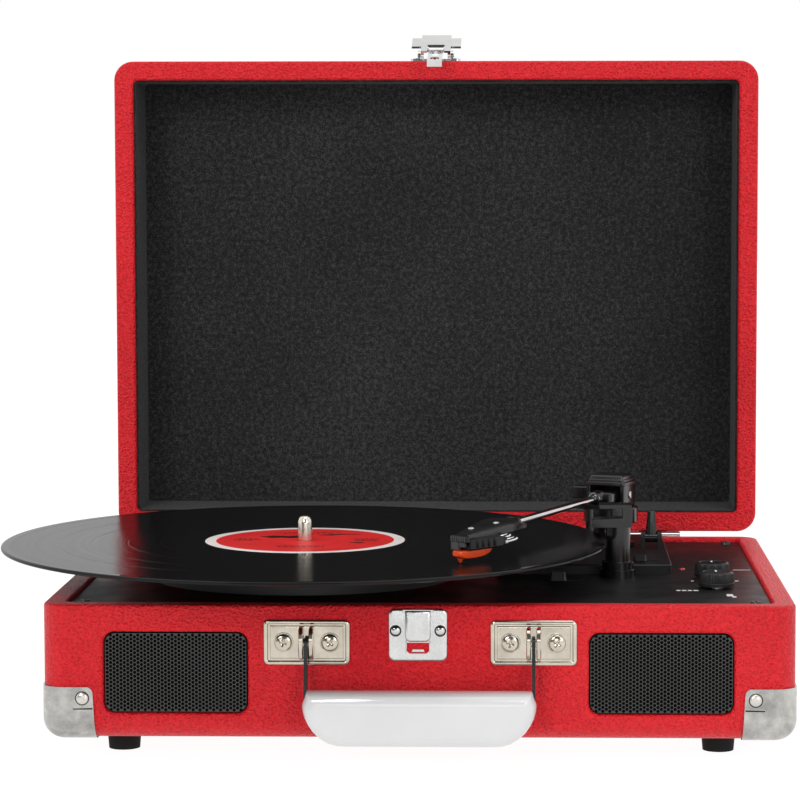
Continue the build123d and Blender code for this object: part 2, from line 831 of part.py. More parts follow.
# ---------------------------------------------------------------- latch on the lid's front wall
plate_top = lid_top_z + 1.2
latch_pin_y = lid_rim_y + 6.5
latch_pin_z = lid_top_z + 3.4
latch_pin_radius = 1.1
ear_inner = 8.5
ear_outer = 9.7
latch_ear = 2.6
pin_end = 0.4
latch_front = 2.5
with BuildPart() as latch_plate:
    with BuildSketch(level(lid_top_z)):
        with BuildLine():
            FilletPolyline(
                (-keeper_width / 2, lid_rim_y + latch_front),
                (keeper_width / 2, lid_rim_y + latch_front),
                (keeper_width / 2, lid_rim_y + latch_back),
                (-keeper_width / 2, lid_rim_y + latch_back),
                radius=latch_corner,
                close=True,
            )
        make_face()
    extrude(amount=plate_top - lid_top_z)
    for x in (-ear_outer, ear_inner):
        with BuildSketch(side(x)):
            with Locations((latch_pin_y, plate_top)):
                Rectangle(6, 4)
            with Locations((latch_pin_y, latch_pin_z)):
                Circle(latch_ear)
            with Locations((latch_pin_y, plate_top - 3)):
                Rectangle(8, 6, mode=Mode.SUBTRACT)
        extrude(amount=ear_outer - ear_inner)
        with BuildSketch(side(x)):
            with Locations((latch_pin_y, latch_pin_z)):
                Circle(latch_pin_radius + running_gap)
        extrude(amount=ear_outer - ear_inner, mode=Mode.SUBTRACT)
    bores(level(plate_top), latch_rivet_points, screw_shank, 2)
latch_plate.part.label = "latch_plate"
export_step(latch_plate.part, "parts/latch_plate.step")

with BuildPart() as lid_rivets:
    headed_fasteners(
        level(plate_top),
        latch_rivet_points,
        latch_rivet_head,
        latch_rivet_dome,
        screw_radius,
        rivet_length,
    )
    under_leaf = Plane(
        origin=(origin_x, origin_y, origin_z + hinge_gap - leaf_thickness),
        x_dir=(1, 0, 0),
        z_dir=(0, 0, -1),
    )
    under_points = [(x, -y) for x, y in lid_hinge_rivet_points]
    headed_fasteners(
        under_leaf, under_points, hinge_rivet_head, rivet_dome, screw_radius, rivet_length
    )
lid_rivets.part.label = "lid_rivets"
export_step(lid_rivets.part, "parts/lid_rivets.step")

# The lever rests a little raised. Its own directions: u from the pin along the lever, v off its top.
lever_raise = 20.0
lever_u = (0, math.cos(math.radians(lever_raise)), math.sin(math.radians(lever_raise)))


def lever_side(x):
    """An upright plane through the latch pin at x, with its x along the lever and its y off it."""
    return Plane(
        origin=(origin_x + x, origin_y + latch_pin_y, origin_z + latch_pin_z),
        x_dir=lever_u,
        z_dir=(1, 0, 0),
    )


lever_length = 25.0
loop_pin_u = 9.0
loop_pin_radius = 1.0
cheek_outer = 8.2
cheek_inner = 6.6
loop_half = 4.1
loop_room = 0.6
wing_half = 13.7
wing_start = 10.0
wing_thickness = 1.2
with BuildPart() as latch_lever:
    # the wings and the raised middle that clears the loop
    with BuildSketch(lever_side(-wing_half)):
        with Locations(((wing_start + lever_length) / 2, wing_thickness)):
            Rectangle(lever_length - wing_start, wing_thickness)
    extrude(amount=2 * wing_half)
    with BuildSketch(lever_side(-cheek_outer)):
        with BuildLine():
            Polyline(
                (-1.2, -1.6),
                (11, -1.6),
                (lever_length, 0.6),
                (lever_length, 3.6),
                (-2.4, 3.2),
                (-2, 0),
                close=True,
            )
        make_face()
    extrude(amount=2 * cheek_outer)
    # the room for the loop, open below and at the pin's end
    with BuildSketch(lever_side(-cheek_inner)):
        with BuildLine():
            Polyline((-3, -3), (26, -3), (26, -1), (22, 2.2), (-3, 2.0), close=True)
        make_face()
    extrude(amount=2 * cheek_inner, mode=Mode.SUBTRACT)
    with BuildSketch(lever_side(-loop_half - loop_room)):
        with Locations((2.6, 3)):
            Rectangle(11.2, 4)
    extrude(amount=2 * (loop_half + loop_room), mode=Mode.SUBTRACT)
    with BuildSketch(lever_side(-cheek_outer)):
        Circle(latch_pin_radius)
        with Locations((loop_pin_u, 0)):
            Circle(loop_pin_radius)
    extrude(amount=2 * cheek_outer, mode=Mode.SUBTRACT)
latch_lever.part.label = "latch_lever"
export_step(latch_lever.part, "parts/latch_lever.step")

with BuildPart() as latch_pins:
    for x in (-ear_outer - pin_end, cheek_inner):
        with BuildSketch(lever_side(x)):
            Circle(latch_pin_radius)
        extrude(amount=ear_outer + pin_end - cheek_inner)
    with BuildSketch(lever_side(-cheek_outer)):
        with Locations((loop_pin_u, 0)):
            Circle(loop_pin_radius)
    extrude(amount=2 * cheek_outer)
latch_pins.part.label = "latch_pins"
export_step(latch_pins.part, "parts/latch_pins.step")

# The loop swings on the lever's second pin and hangs forward over the lid's edge.
loop_pin_y = latch_pin_y + loop_pin_u * lever_u[1]
loop_pin_z = latch_pin_z + loop_pin_u * lever_u[2]
loop_dip = 12.5
loop_length = 34.0
loop_eye = 1.9
loop_thickness = 1.5
loop_u = (0, -math.cos(math.radians(loop_dip)), -math.sin(math.radians(loop_dip)))
loop_v = (0, math.sin(math.radians(loop_dip)), -math.cos(math.radians(loop_dip)))
with BuildPart() as latch_loop:
    loop_side = Plane(
        origin=(origin_x - loop_half, origin_y + loop_pin_y, origin_z + loop_pin_z),
        x_dir=loop_u,
        z_dir=(1, 0, 0),
    )
    with BuildSketch(loop_side):
        Circle(loop_eye)
        with Locations((loop_length / 2, 0)):
            Rectangle(loop_length, loop_thickness)
        with Locations((loop_length - 0.7, 1.1)):
            Rectangle(1.4, 3.6)
    extrude(amount=2 * loop_half)
    with BuildSketch(loop_side):
        Circle(loop_pin_radius + running_gap)
    extrude(amount=2 * loop_half, mode=Mode.SUBTRACT)
    loop_top = Plane(
        origin=(origin_x, origin_y + loop_pin_y, origin_z + loop_pin_z), x_dir=loop_u, z_dir=loop_v
    )
    with BuildSketch(loop_top.offset(-3)):
        with Locations((loop_length - 5.0, 0)):
            SlotOverall(7, 5)
        with Locations((loop_length / 2 - 3, 0)):
            SlotOverall(14, 4)
    extrude(amount=6, mode=Mode.SUBTRACT)
latch_loop.part.label = "latch_loop"
export_step(latch_loop.part, "parts/latch_loop.step")

# ---------------------------------------------------------------- platter and record
record_bottom = record_top - record_thickness
platter_top = record_bottom - mat_thickness
platter_bottom = 2.5
disc_thickness = 2.0
hub_radius = 9.0
rim_thickness = 2.5
drive_rim_thickness = 2.0
drive_rim_bottom = 4.0
edge_bevel = 0.8
hole_gap = 0.07
spindle_neck = spindle_radius - 0.3
spindle_bottom = -22.0
shoulder_z = record_top + 0.2
spindle_nose = 2.6
platter_axis = Axis((origin_x + spindle_x, origin_y + spindle_y, 0), (0, 0, 1))


def platter_side():
    """An upright plane through the spindle: its x is the radius and its y the case's z."""
    return Plane(
        origin=(origin_x + spindle_x, origin_y + spindle_y, origin_z), x_dir=(1, 0, 0), z_dir=(0, -1, 0)
    )


with BuildPart() as platter:
    with BuildSketch(platter_side()):
        with BuildLine():
            Polyline(
                (spindle_neck, platter_bottom),
                (hub_radius, platter_bottom),
                (hub_radius, platter_top - disc_thickness),
                (drive_rim_radius - drive_rim_thickness, platter_top - disc_thickness),
                (drive_rim_radius - drive_rim_thickness, drive_rim_bottom),
                (drive_rim_radius, drive_rim_bottom),
                (drive_rim_radius, platter_top - disc_thickness),
                (platter_radius - rim_thickness, platter_top - disc_thickness),
                (platter_radius - rim_thickness, platter_bottom),
                (platter_radius, platter_bottom),
                (platter_radius, platter_top - edge_bevel),
                (platter_radius - edge_bevel, platter_top),
                (spindle_neck, platter_top),
                close=True,
            )
        make_face()
    revolve(axis=platter_axis, revolution_arc=360)
platter.part.label = "platter"
export_step(platter.part, "parts/platter.step")

with BuildPart() as platter_mat:
    with BuildSketch(level(platter_top)):
        with Locations((spindle_x, spindle_y)):
            Circle(platter_radius - 1)
            Circle(spindle_radius + hole_gap, mode=Mode.SUBTRACT)
    extrude(amount=mat_thickness)
platter_mat.part.label = "platter_mat"
export_step(platter_mat.part, "parts/platter_mat.step")

with BuildPart() as spindle:
    with BuildSketch(level(spindle_bottom)):
        with Locations((spindle_x, spindle_y)):
            Circle(spindle_neck)
    extrude(amount=shoulder_z - spindle_bottom)
    with BuildSketch(level(shoulder_z)):
        with Locations((spindle_x, spindle_y)):
            Circle(spindle_radius)
    extrude(amount=spindle_top - shoulder_z)
    fillet(spindle.edges().sort_by(Axis.Z)[-1], spindle_nose)
spindle.part.label = "spindle"
export_step(spindle.part, "parts/spindle.step")

record_bevel = 1.5
record_edge = 0.7
with BuildPart() as record:
    with BuildSketch(platter_side()):
        with BuildLine():
            Polyline(
                (spindle_radius + hole_gap, record_bottom + label_thickness),
                (label_radius, record_bottom + label_thickness),
                (label_radius, record_bottom),
                (record_radius - record_bevel, record_bottom),
                (record_radius, record_bottom + record_edge),
                (record_radius, record_top - record_edge),
                (record_radius - record_bevel, record_top),
                (label_radius, record_top),
                (label_radius, record_top - label_thickness),
                (spindle_radius + hole_gap, record_top - label_thickness),
                close=True,
            )
        make_face()
    revolve(axis=platter_axis, revolution_arc=360)
record.part.label = "record"
export_step(record.part, "parts/record.step")

with BuildPart() as record_labels:
    for z in (record_bottom, record_top - label_thickness):
        with BuildSketch(level(z)):
            with Locations((spindle_x, spindle_y)):
                Circle(label_radius - 0.1)
                Circle(spindle_radius + hole_gap, mode=Mode.SUBTRACT)
        extrude(amount=label_thickness)
record_labels.part.label = "record_labels"
export_step(record_labels.part, "parts/record_labels.step")

# ---------------------------------------------------------------- drive
bearing_floor = 2.1
bearing_flange = 14.0
bearing_flange_height = 2.0
with BuildPart() as spindle_bearing:
    with BuildSketch(level(spindle_bottom - bearing_floor)):
        with Locations((spindle_x, spindle_y)):
            Circle(bearing_radius)
    extrude(amount=deck_top - spindle_bottom + bearing_floor)
    with BuildSketch(level(deck_top)):
        with Locations((spindle_x, spindle_y)):
            Circle(bearing_flange)
    extrude(amount=bearing_flange_height)
    with BuildSketch(level(spindle_bottom - running_gap)):
        with Locations((spindle_x, spindle_y)):
            Circle(spindle_neck + running_gap)
    extrude(amount=deck_top - spindle_bottom + bearing_flange_height + overrun, mode=Mode.SUBTRACT)
spindle_bearing.part.label = "spindle_bearing"
export_step(spindle_bearing.part, "parts/spindle_bearing.step")

motor_radius = 17.0
motor_height = 24.0
shaft_radius = 1.0
shaft_bottom = deck_bottom - 16
motor_flange = 1.2
with BuildPart() as motor:
    with BuildSketch(level(deck_bottom)):
        with Locations((pulley_x, pulley_y)):
            Circle(motor_radius + 3)
    extrude(amount=-motor_flange)
    with BuildSketch(level(deck_bottom - motor_flange)):
        with Locations((pulley_x, pulley_y)):
            Circle(motor_radius)
    extrude(amount=-motor_height)
    with BuildSketch(level(deck_bottom)):
        with Locations((pulley_x, pulley_y)):
            Circle(shaft_radius + running_gap)
    extrude(amount=shaft_bottom - deck_bottom - 0.2, mode=Mode.SUBTRACT)
motor.part.label = "motor"
export_step(motor.part, "parts/motor.step")

belt_bottom = 5.0
belt_side_gap = 0.5
pulley_lip = 1.0
with BuildPart() as motor_pulley:
    with BuildSketch(level(shaft_bottom)):
        with Locations((pulley_x, pulley_y)):
            Circle(shaft_radius)
    extrude(amount=belt_bottom - belt_side_gap - pulley_lip - shaft_bottom)
    with BuildSketch(level(belt_bottom - belt_side_gap - pulley_lip)):
        with Locations((pulley_x, pulley_y)):
            Circle(pulley_radius + pulley_lip)
    extrude(amount=pulley_lip)
    with BuildSketch(level(belt_bottom - belt_side_gap)):
        with Locations((pulley_x, pulley_y)):
            Circle(pulley_radius)
    extrude(amount=belt_width + 2 * belt_side_gap)
    with BuildSketch(level(belt_bottom + belt_width + belt_side_gap)):
        with Locations((pulley_x, pulley_y)):
            Circle(pulley_radius + pulley_lip)
    extrude(amount=pulley_lip)
motor_pulley.part.label = "motor_pulley"
export_step(motor_pulley.part, "parts/motor_pulley.step")

belt_inner_rim = drive_rim_radius + belt_gap
belt_inner_pulley = pulley_radius + belt_gap
with BuildPart() as drive_belt:
    with BuildSketch(level(belt_bottom)):
        with Locations((spindle_x, spindle_y)):
            Circle(belt_inner_rim + belt_thickness)
        with Locations((pulley_x, pulley_y)):
            Circle(belt_inner_pulley + belt_thickness)
        make_hull()
    extrude(amount=belt_width)
    with BuildSketch(level(belt_bottom)):
        with Locations((spindle_x, spindle_y)):
            Circle(belt_inner_rim)
        with Locations((pulley_x, pulley_y)):
            Circle(belt_inner_pulley)
        make_hull()
    extrude(amount=belt_width, mode=Mode.SUBTRACT)
drive_belt.part.label = "drive_belt"
export_step(drive_belt.part, "parts/drive_belt.step")

# ---------------------------------------------------------------- electrics
pillar_height = 6.0
board_z = -base_height + floor_thickness + pillar_height
board_x = 20.0
board_y = 150.0
board_length = 90.0
board_width = 60.0
board_thickness = 1.6
component_height = 9.0
with BuildPart() as circuit_board:
    with BuildSketch(level(board_z)):
        with Locations((board_x, board_y)):
            Rectangle(board_length, board_width)
    extrude(amount=board_thickness)
    # components on the board, and four pillars under it
    with BuildSketch(level(board_z + board_thickness)):
        with Locations((board_x - 25, board_y + 12), (board_x - 8, board_y + 12)):
            Circle(5)
        with Locations((board_x + 20, board_y - 8)):
            Rectangle(24, 12)
        with Locations((board_x + 20, board_y + 16)):
            Rectangle(30, 8)
    extrude(amount=component_height)
    with BuildSketch(level(-base_height + floor_thickness)):
        with Locations((board_x, board_y)):
            with GridLocations(board_length - 10, board_width - 10, 2, 2):
                Circle(2.5)
    extrude(amount=pillar_height)
circuit_board.part.label = "circuit_board"
export_step(circuit_board.part, "parts/circuit_board.step")

jack_flange = 1.2
jack_lip = 1.8
jack_depth = 16.0
power_bore = 2.75
power_pin = 1.05
power_bore_depth = 11.0
with BuildPart() as power_jack:
    with BuildSketch(back_face):
        with Locations((-power_jack_x, jack_z)):
            Circle(power_jack_radius + jack_lip)
    extrude(amount=jack_flange)
    with BuildSketch(back_face):
        with Locations((-power_jack_x, jack_z)):
            Circle(power_jack_radius)
    extrude(amount=-jack_depth)
    with BuildSketch(back_face.offset(jack_flange)):
        with Locations((-power_jack_x, jack_z)):
            Circle(power_bore)
            Circle(power_pin, mode=Mode.SUBTRACT)
    extrude(amount=-power_bore_depth, mode=Mode.SUBTRACT)
power_jack.part.label = "power_jack"
export_step(power_jack.part, "parts/power_jack.step")

rca_barrel = 4.15
rca_length = 7.5
rca_socket = 1.6
rca_socket_depth = 8.0
with BuildPart() as rca_jacks:
    for x in rca_x:
        with BuildSketch(back_face):
            with Locations((-x, jack_z)):
                Circle(rca_radius + jack_lip)
        extrude(amount=jack_flange)
        with BuildSketch(back_face):
            with Locations((-x, jack_z)):
                Circle(rca_radius)
        extrude(amount=-jack_depth)
        with BuildSketch(back_face.offset(jack_flange)):
            with Locations((-x, jack_z)):
                Circle(rca_barrel)
        extrude(amount=rca_length)
        with BuildSketch(back_face.offset(jack_flange + rca_length)):
            with Locations((-x, jack_z)):
                Circle(rca_socket)
        extrude(amount=-rca_socket_depth, mode=Mode.SUBTRACT)
rca_jacks.part.label = "rca_jacks"
export_step(rca_jacks.part, "parts/rca_jacks.step")

headphone_bore = 1.8
headphone_bore_depth = 16.0
with BuildPart() as headphone_jack:
    with BuildSketch(back_face):
        with Locations((-headphone_x, jack_z)):
            Circle(headphone_radius + jack_lip)
    extrude(amount=jack_flange)
    with BuildSketch(back_face):
        with Locations((-headphone_x, jack_z)):
            Circle(headphone_radius)
    extrude(amount=-(headphone_bore_depth + 2))
    with BuildSketch(back_face.offset(jack_flange)):
        with Locations((-headphone_x, jack_z)):
            Circle(headphone_bore)
    extrude(amount=-headphone_bore_depth, mode=Mode.SUBTRACT)
headphone_jack.part.label = "headphone_jack"
export_step(headphone_jack.part, "parts/headphone_jack.step")

knob_radius = 8.95
knob_bottom = deck_top + 1.3
knob_top = deck_top + 8.1
pot_shaft = 2.5
pot_can = 8.0
pot_bore_depth = 5.0
bush_rise = 0.8
knurl_count = 48
knurl_radius = 0.35
knurl_bottom = 1.6
pointer_width = 1.0
pointer_length = 6.0
pointer_offset = 4.6
with BuildPart() as potentiometers:
    for y in (volume_knob_y, tone_knob_y):
        with BuildSketch(level(deck_bottom)):
            with Locations((knob_x, y)):
                Circle(pot_can)
        extrude(amount=-8)
        with BuildSketch(level(deck_bottom)):
            with Locations((knob_x, y)):
                Circle(pot_bush)
        extrude(amount=deck_thickness + bush_rise)
        with BuildSketch(level(deck_bottom - pot_bore_depth)):
            with Locations((knob_x, y)):
                Circle(pot_shaft + running_gap)
        extrude(amount=pot_bore_depth + deck_thickness + 2 * overrun, mode=Mode.SUBTRACT)
potentiometers.part.label = "potentiometers"
export_step(potentiometers.part, "parts/potentiometers.step")

for y, name in ((volume_knob_y, "volume_knob"), (tone_knob_y, "tone_knob")):
    with BuildPart() as knob:
        with BuildSketch(level(knob_bottom)):
            with Locations((knob_x, y)):
                Circle(knob_radius)
        extrude(amount=knob_top - knob_bottom)
        fillet(knob.edges().sort_by(Axis.Z)[-1], edge_bevel)
        # finger grooves round the rim, and the pointer's groove on top
        with BuildSketch(level(knob_bottom + knurl_bottom)):
            with Locations((knob_x, y)):
                with PolarLocations(knob_radius + knurl_radius / 2, knurl_count):
                    Circle(knurl_radius)
        extrude(amount=knob_top - knob_bottom, mode=Mode.SUBTRACT)
        with BuildSketch(level(knob_top)):
            with Locations((knob_x, y + pointer_offset)):
                Rectangle(pointer_width, pointer_length)
        extrude(amount=-0.5, mode=Mode.SUBTRACT)
        # the shaft below it
        with BuildSketch(level(deck_bottom - pot_bore_depth + 0.5)):
            with Locations((knob_x, y)):
                Circle(pot_shaft)
        extrude(amount=knob_bottom - deck_bottom + pot_bore_depth - 0.5)
    knob.part.label = name
    export_step(knob.part, f"parts/{name}.step")

with BuildPart() as power_led:
    with BuildSketch(level(deck_bottom)):
        with Locations((led_x, led_y)):
            Circle(led_radius)
    extrude(amount=deck_thickness + bush_rise)
    fillet(power_led.edges().sort_by(Axis.Z)[-1], 0.7)
power_led.part.label = "power_led"
export_step(power_led.part, "parts/power_led.step")

switch_stem_drop = 3.0
switch_gap = 0.4
switch_height = 4.5
with BuildPart() as speed_switch:
    with BuildSketch(level(deck_bottom - switch_stem_drop)):
        with Locations((speed_x - speed_travel / 2, speed_y)):
            Rectangle(4, 2.4)
    extrude(amount=switch_stem_drop + deck_thickness + 1)
    with BuildSketch(level(deck_top + switch_gap)):
        with Locations((speed_x - speed_travel / 2, speed_y)):
            RectangleRounded(9, 7, 1.5)
    extrude(amount=switch_height, taper=12)
speed_switch.part.label = "speed_switch"
export_step(speed_switch.part, "parts/speed_switch.step")

# ---------------------------------------------------------------- tonearm base on the deck
platform_left = 36.0
platform_right = 125.0
platform_front = 122.0
platform_back = 246.0
stop_x = 112.0
stop_y = 136.0
stop_travel = 6.0
lever_x = 117.0
lever_y = 190.0
lever_z = platform_top + 5.5
lever_pin_radius = 1.5
lever_ear = 3.6
lever_ear_thickness = 2.2
lever_ear_left = lever_x - 5.5
lever_ear_right = lever_x + 3.3
with BuildPart() as tonearm_base:
    with BuildSketch(level(deck_top)):
        with BuildLine():
            FilletPolyline(
                (platform_left, platform_front),
                (platform_right, platform_front),
                (platform_right, platform_back),
                (platform_left, platform_back),
                radius=3,
                close=True,
            )
        make_face()
    extrude(amount=platform_top - deck_top)
    chamfer(tonearm_base.faces().sort_by(Axis.Z)[-1].edges(), 0.6)
    # the ears that carry the cueing lever
    for x in (lever_ear_left, lever_ear_right):
        with BuildSketch(side(x)):
            with Locations((lever_y, lever_z)):
                Circle(lever_ear)
            with Locations((lever_y, (platform_top + lever_z) / 2)):
                Rectangle(2 * lever_ear, lever_z - platform_top)
        extrude(amount=lever_ear_thickness)
        with BuildSketch(side(x)):
            with Locations((lever_y, lever_z)):
                Circle(lever_pin_radius + running_gap)
        extrude(amount=lever_ear_thickness, mode=Mode.SUBTRACT)
    with BuildSketch(level(deck_top)):
        with Locations((pivot_x, pivot_y)):
            Circle(pivot_hole)
        with Locations((stem_x, stem_y)):
            Circle(stem_radius + running_gap)
        with Locations((stop_x, stop_y)):
            SlotOverall(stop_travel + 6.6, 2.6)
    extrude(amount=6, mode=Mode.SUBTRACT)
tonearm_base.part.label = "tonearm_base"
export_step(tonearm_base.part, "parts/tonearm_base.step")

with BuildPart() as auto_stop_switch:
    with BuildSketch(level(deck_top + 0.5)):
        with Locations((stop_x - stop_travel / 2, stop_y)):
            Rectangle(4, 2.2)
    extrude(amount=platform_top - deck_top)
    with BuildSketch(level(platform_top + 0.3)):
        with Locations((stop_x - stop_travel / 2, stop_y)):
            RectangleRounded(7, 5, 1)
    extrude(amount=3, taper=10)
auto_stop_switch.part.label = "auto_stop_switch"
export_step(auto_stop_switch.part, "parts/auto_stop_switch.step")

pivot_shaft = 3.0
pivot_base_top = 24.6
pivot_step = platform_top + 10.3
pivot_boss = 6.8
pivot_foot_radius = 13.0
pivot_column_radius = 10.5
pivot_floor = 2.0
with BuildPart() as pivot_base:
    with BuildSketch(level(deck_bottom - pivot_floor)):
        with Locations((pivot_x, pivot_y)):
            Circle(pivot_boss)
    extrude(amount=platform_top - deck_bottom + pivot_floor)
    with BuildSketch(level(platform_top)):
        with Locations((pivot_x, pivot_y)):
            Circle(pivot_foot_radius)
    extrude(amount=pivot_step - platform_top)
    with BuildSketch(level(pivot_step)):
        with Locations((pivot_x, pivot_y)):
            Circle(pivot_column_radius)
    extrude(amount=pivot_base_top - pivot_step)
    fillet(pivot_base.faces().sort_by(Axis.Z)[-1].edges(), 0.6)
    with BuildSketch(level(deck_bottom - pivot_floor / 2)):
        with Locations((pivot_x, pivot_y)):
            Circle(pivot_shaft + running_gap)
    extrude(amount=pivot_base_top - deck_bottom + pivot_floor, mode=Mode.SUBTRACT)
pivot_base.part.label = "pivot_base"
export_step(pivot_base.part, "parts/pivot_base.step")

# The arm rest's hook is open towards the record, so that the arm swings into it from there.
hook_left = 83.6
hook_right = 103.8
hook_bottom = 23.8
hook_top = 35.2
hook_floor = 28.4
hook_roof = 33.4
hook_depth = 12.0
column_radius = 6.3
flange_step = 4.0
with BuildPart() as arm_rest:
    for z, radius in ((deck_top, 9.0), (deck_top + flange_step, 8.0)):
        with BuildSketch(level(z)):
            with Locations((rest_x, rest_y)):
                Circle(radius)
        extrude(amount=flange_step)
    with BuildSketch(level(deck_top + 2 * flange_step)):
        with Locations((rest_x, rest_y)):
            Circle(column_radius)
    extrude(amount=hook_bottom - deck_top - 2 * flange_step)
    with BuildSketch(front(rest_y - hook_depth / 2)):
        with BuildLine():
            Polyline(
                (hook_left, hook_bottom),
                (hook_right, hook_bottom),
                (hook_right, hook_top),
                (hook_left + 4, hook_top),
                (hook_left + 4, hook_roof),
                (hook_right - 4.5, hook_roof),
                (hook_right - 4.5, hook_floor),
                (hook_left, hook_floor - 0.8),
                close=True,
            )
        make_face()
    extrude(amount=-hook_depth)
arm_rest.part.label = "arm_rest"
export_step(arm_rest.part, "parts/arm_rest.step")


# ---------------------------------------------------------------- tonearm
arm_x_dir = (math.cos(arm_angle), math.sin(arm_angle), 0)
arm_z_dir = (math.sin(arm_angle), -math.cos(arm_angle), 0)
arm_length = math.hypot(stylus_x - pivot_x, stylus_y - pivot_y)


def arm_level(z):
    """A horizontal plane at the pivot, with its x along the arm towards the stylus."""
    return Plane(origin=(origin_x + pivot_x, origin_y + pivot_y, origin_z + z), x_dir=arm_x_dir)


def arm_side(offset):
    """An upright plane along the arm, offset to its outer side: its y is the case's z."""
    base = Plane(
        origin=(origin_x + pivot_x, origin_y + pivot_y, origin_z), x_dir=arm_x_dir, z_dir=arm_z_dir
    )
    return base.offset(offset)


def arm_across(distance):
    """An upright plane across the arm, at a distance from the pivot: its y is the case's z."""
    return Plane(
        origin=(
            origin_x + pivot_x + distance * arm_x_dir[0],
            origin_y + pivot_y + distance * arm_x_dir[1],
            origin_z,
        ),
        x_dir=(-arm_x_dir[1], arm_x_dir[0], 0),
        z_dir=arm_x_dir,
    )


housing_width = 21.4
housing_length = 19.0
housing_split = 36.5
cheek = 2.4
trunnion_radius = 1.5
housing_corner = 1.5
yoke_bottom = pivot_base_top + 0.3
yoke_floor = 2.2
spring_box_bottom = 28.4
spring_box_top = 34.8
spring_box_width = 10.6
spring_box_length = 9.0
with BuildPart() as tonearm_yoke:
    with BuildSketch(level(deck_bottom)):
        with Locations((pivot_x, pivot_y)):
            Circle(pivot_shaft)
    extrude(amount=yoke_bottom - deck_bottom)
    with BuildSketch(arm_level(yoke_bottom)):
        RectangleRounded(housing_length, housing_width, housing_corner)
    extrude(amount=yoke_floor)
    with BuildSketch(arm_level(yoke_bottom + yoke_floor)):
        with Locations((0, (housing_width - cheek) / 2), (0, -(housing_width - cheek) / 2)):
            Rectangle(housing_length - 1, cheek)
    extrude(amount=housing_split - yoke_bottom - yoke_floor)
    # the balance spring's box stands off the inner cheek
    with BuildSketch(arm_level(spring_box_bottom)):
        with Locations((0, -(housing_width + spring_box_width) / 2 + 0.2)):
            Rectangle(spring_box_length, spring_box_width)
    extrude(amount=spring_box_top - spring_box_bottom)
    with BuildSketch(arm_side(-housing_width)):
        with Locations((0, arm_height)):
            Circle(trunnion_radius + running_gap)
    extrude(amount=2 * housing_width, mode=Mode.SUBTRACT)
tonearm_yoke.part.label = "tonearm_yoke"
export_step(tonearm_yoke.part, "parts/tonearm_yoke.step")

cap_lip = 0.3
cap_lip_height = 2.2
cap_height = 3.0
with BuildPart() as tonearm_cap:
    with BuildSketch(arm_level(housing_split)):
        RectangleRounded(housing_length + 2 * cap_lip, housing_width + 2 * cap_lip, housing_corner)
    extrude(amount=cap_lip_height)
    with BuildSketch(arm_level(housing_split + cap_lip_height)):
        RectangleRounded(housing_length - 1, housing_width - 1, housing_corner)
    extrude(amount=cap_height, taper=12)
tonearm_cap.part.label = "tonearm_cap"
export_step(tonearm_cap.part, "parts/tonearm_cap.step")

holder_half = 7.4
holder_front = 22.0
holder_back = -7.5
holder_height = 5.4
tube_start = 4.0
tube_wall = 0.5
with BuildPart() as arm_holder:
    with BuildSketch(arm_side(-holder_half)):
        with BuildLine():
            Polyline(
                (holder_back, arm_height - holder_height / 2),
                (holder_front, arm_height - holder_height / 2),
                (holder_front, arm_height + holder_height / 2),
                (holder_back, arm_height + holder_height / 2),
                close=True,
            )
        make_face()
    extrude(amount=2 * holder_half)
    with BuildSketch(arm_side(-housing_width / 2 + pin_inset)):
        with Locations((0, arm_height)):
            Circle(trunnion_radius)
    extrude(amount=housing_width - 2 * pin_inset)
    with BuildSketch(arm_across(tube_start)):
        with Locations((0, arm_height)):
            Circle(arm_tube_radius)
    extrude(amount=holder_front - tube_start, mode=Mode.SUBTRACT)
arm_holder.part.label = "arm_holder"
export_step(arm_holder.part, "parts/arm_holder.step")

sleeve_start = 127.0
sleeve_radius = 3.4
sleeve_end = 141.0
tube_end = sleeve_end + 4
with BuildPart() as tonearm_tube:
    with BuildSketch(arm_across(tube_start)):
        with Locations((0, arm_height)):
            Circle(arm_tube_radius)
            Circle(arm_tube_radius - tube_wall, mode=Mode.SUBTRACT)
    extrude(amount=tube_end - tube_start)
tonearm_tube.part.label = "tonearm_tube"
export_step(tonearm_tube.part, "parts/tonearm_tube.step")

# The front of the headshell, the cartridge and the stylus are turned inwards from the arm's line.
offset_angle = math.radians(20)
shell_x_dir = (math.cos(arm_angle - offset_angle), math.sin(arm_angle - offset_angle), 0)
shell_z_dir = (math.sin(arm_angle - offset_angle), -math.cos(arm_angle - offset_angle), 0)


def shell_level(z):
    """A horizontal plane at the stylus, with its x forwards along the cartridge."""
    return Plane(
        origin=(origin_x + stylus_x, origin_y + stylus_y, origin_z + z), x_dir=shell_x_dir
    )


def shell_side(offset):
    """An upright plane along the cartridge, offset to its outer side: its y is the case's z."""
    base = Plane(
        origin=(origin_x + stylus_x, origin_y + stylus_y, origin_z),
        x_dir=shell_x_dir,
        z_dir=shell_z_dir,
    )
    return base.offset(offset)


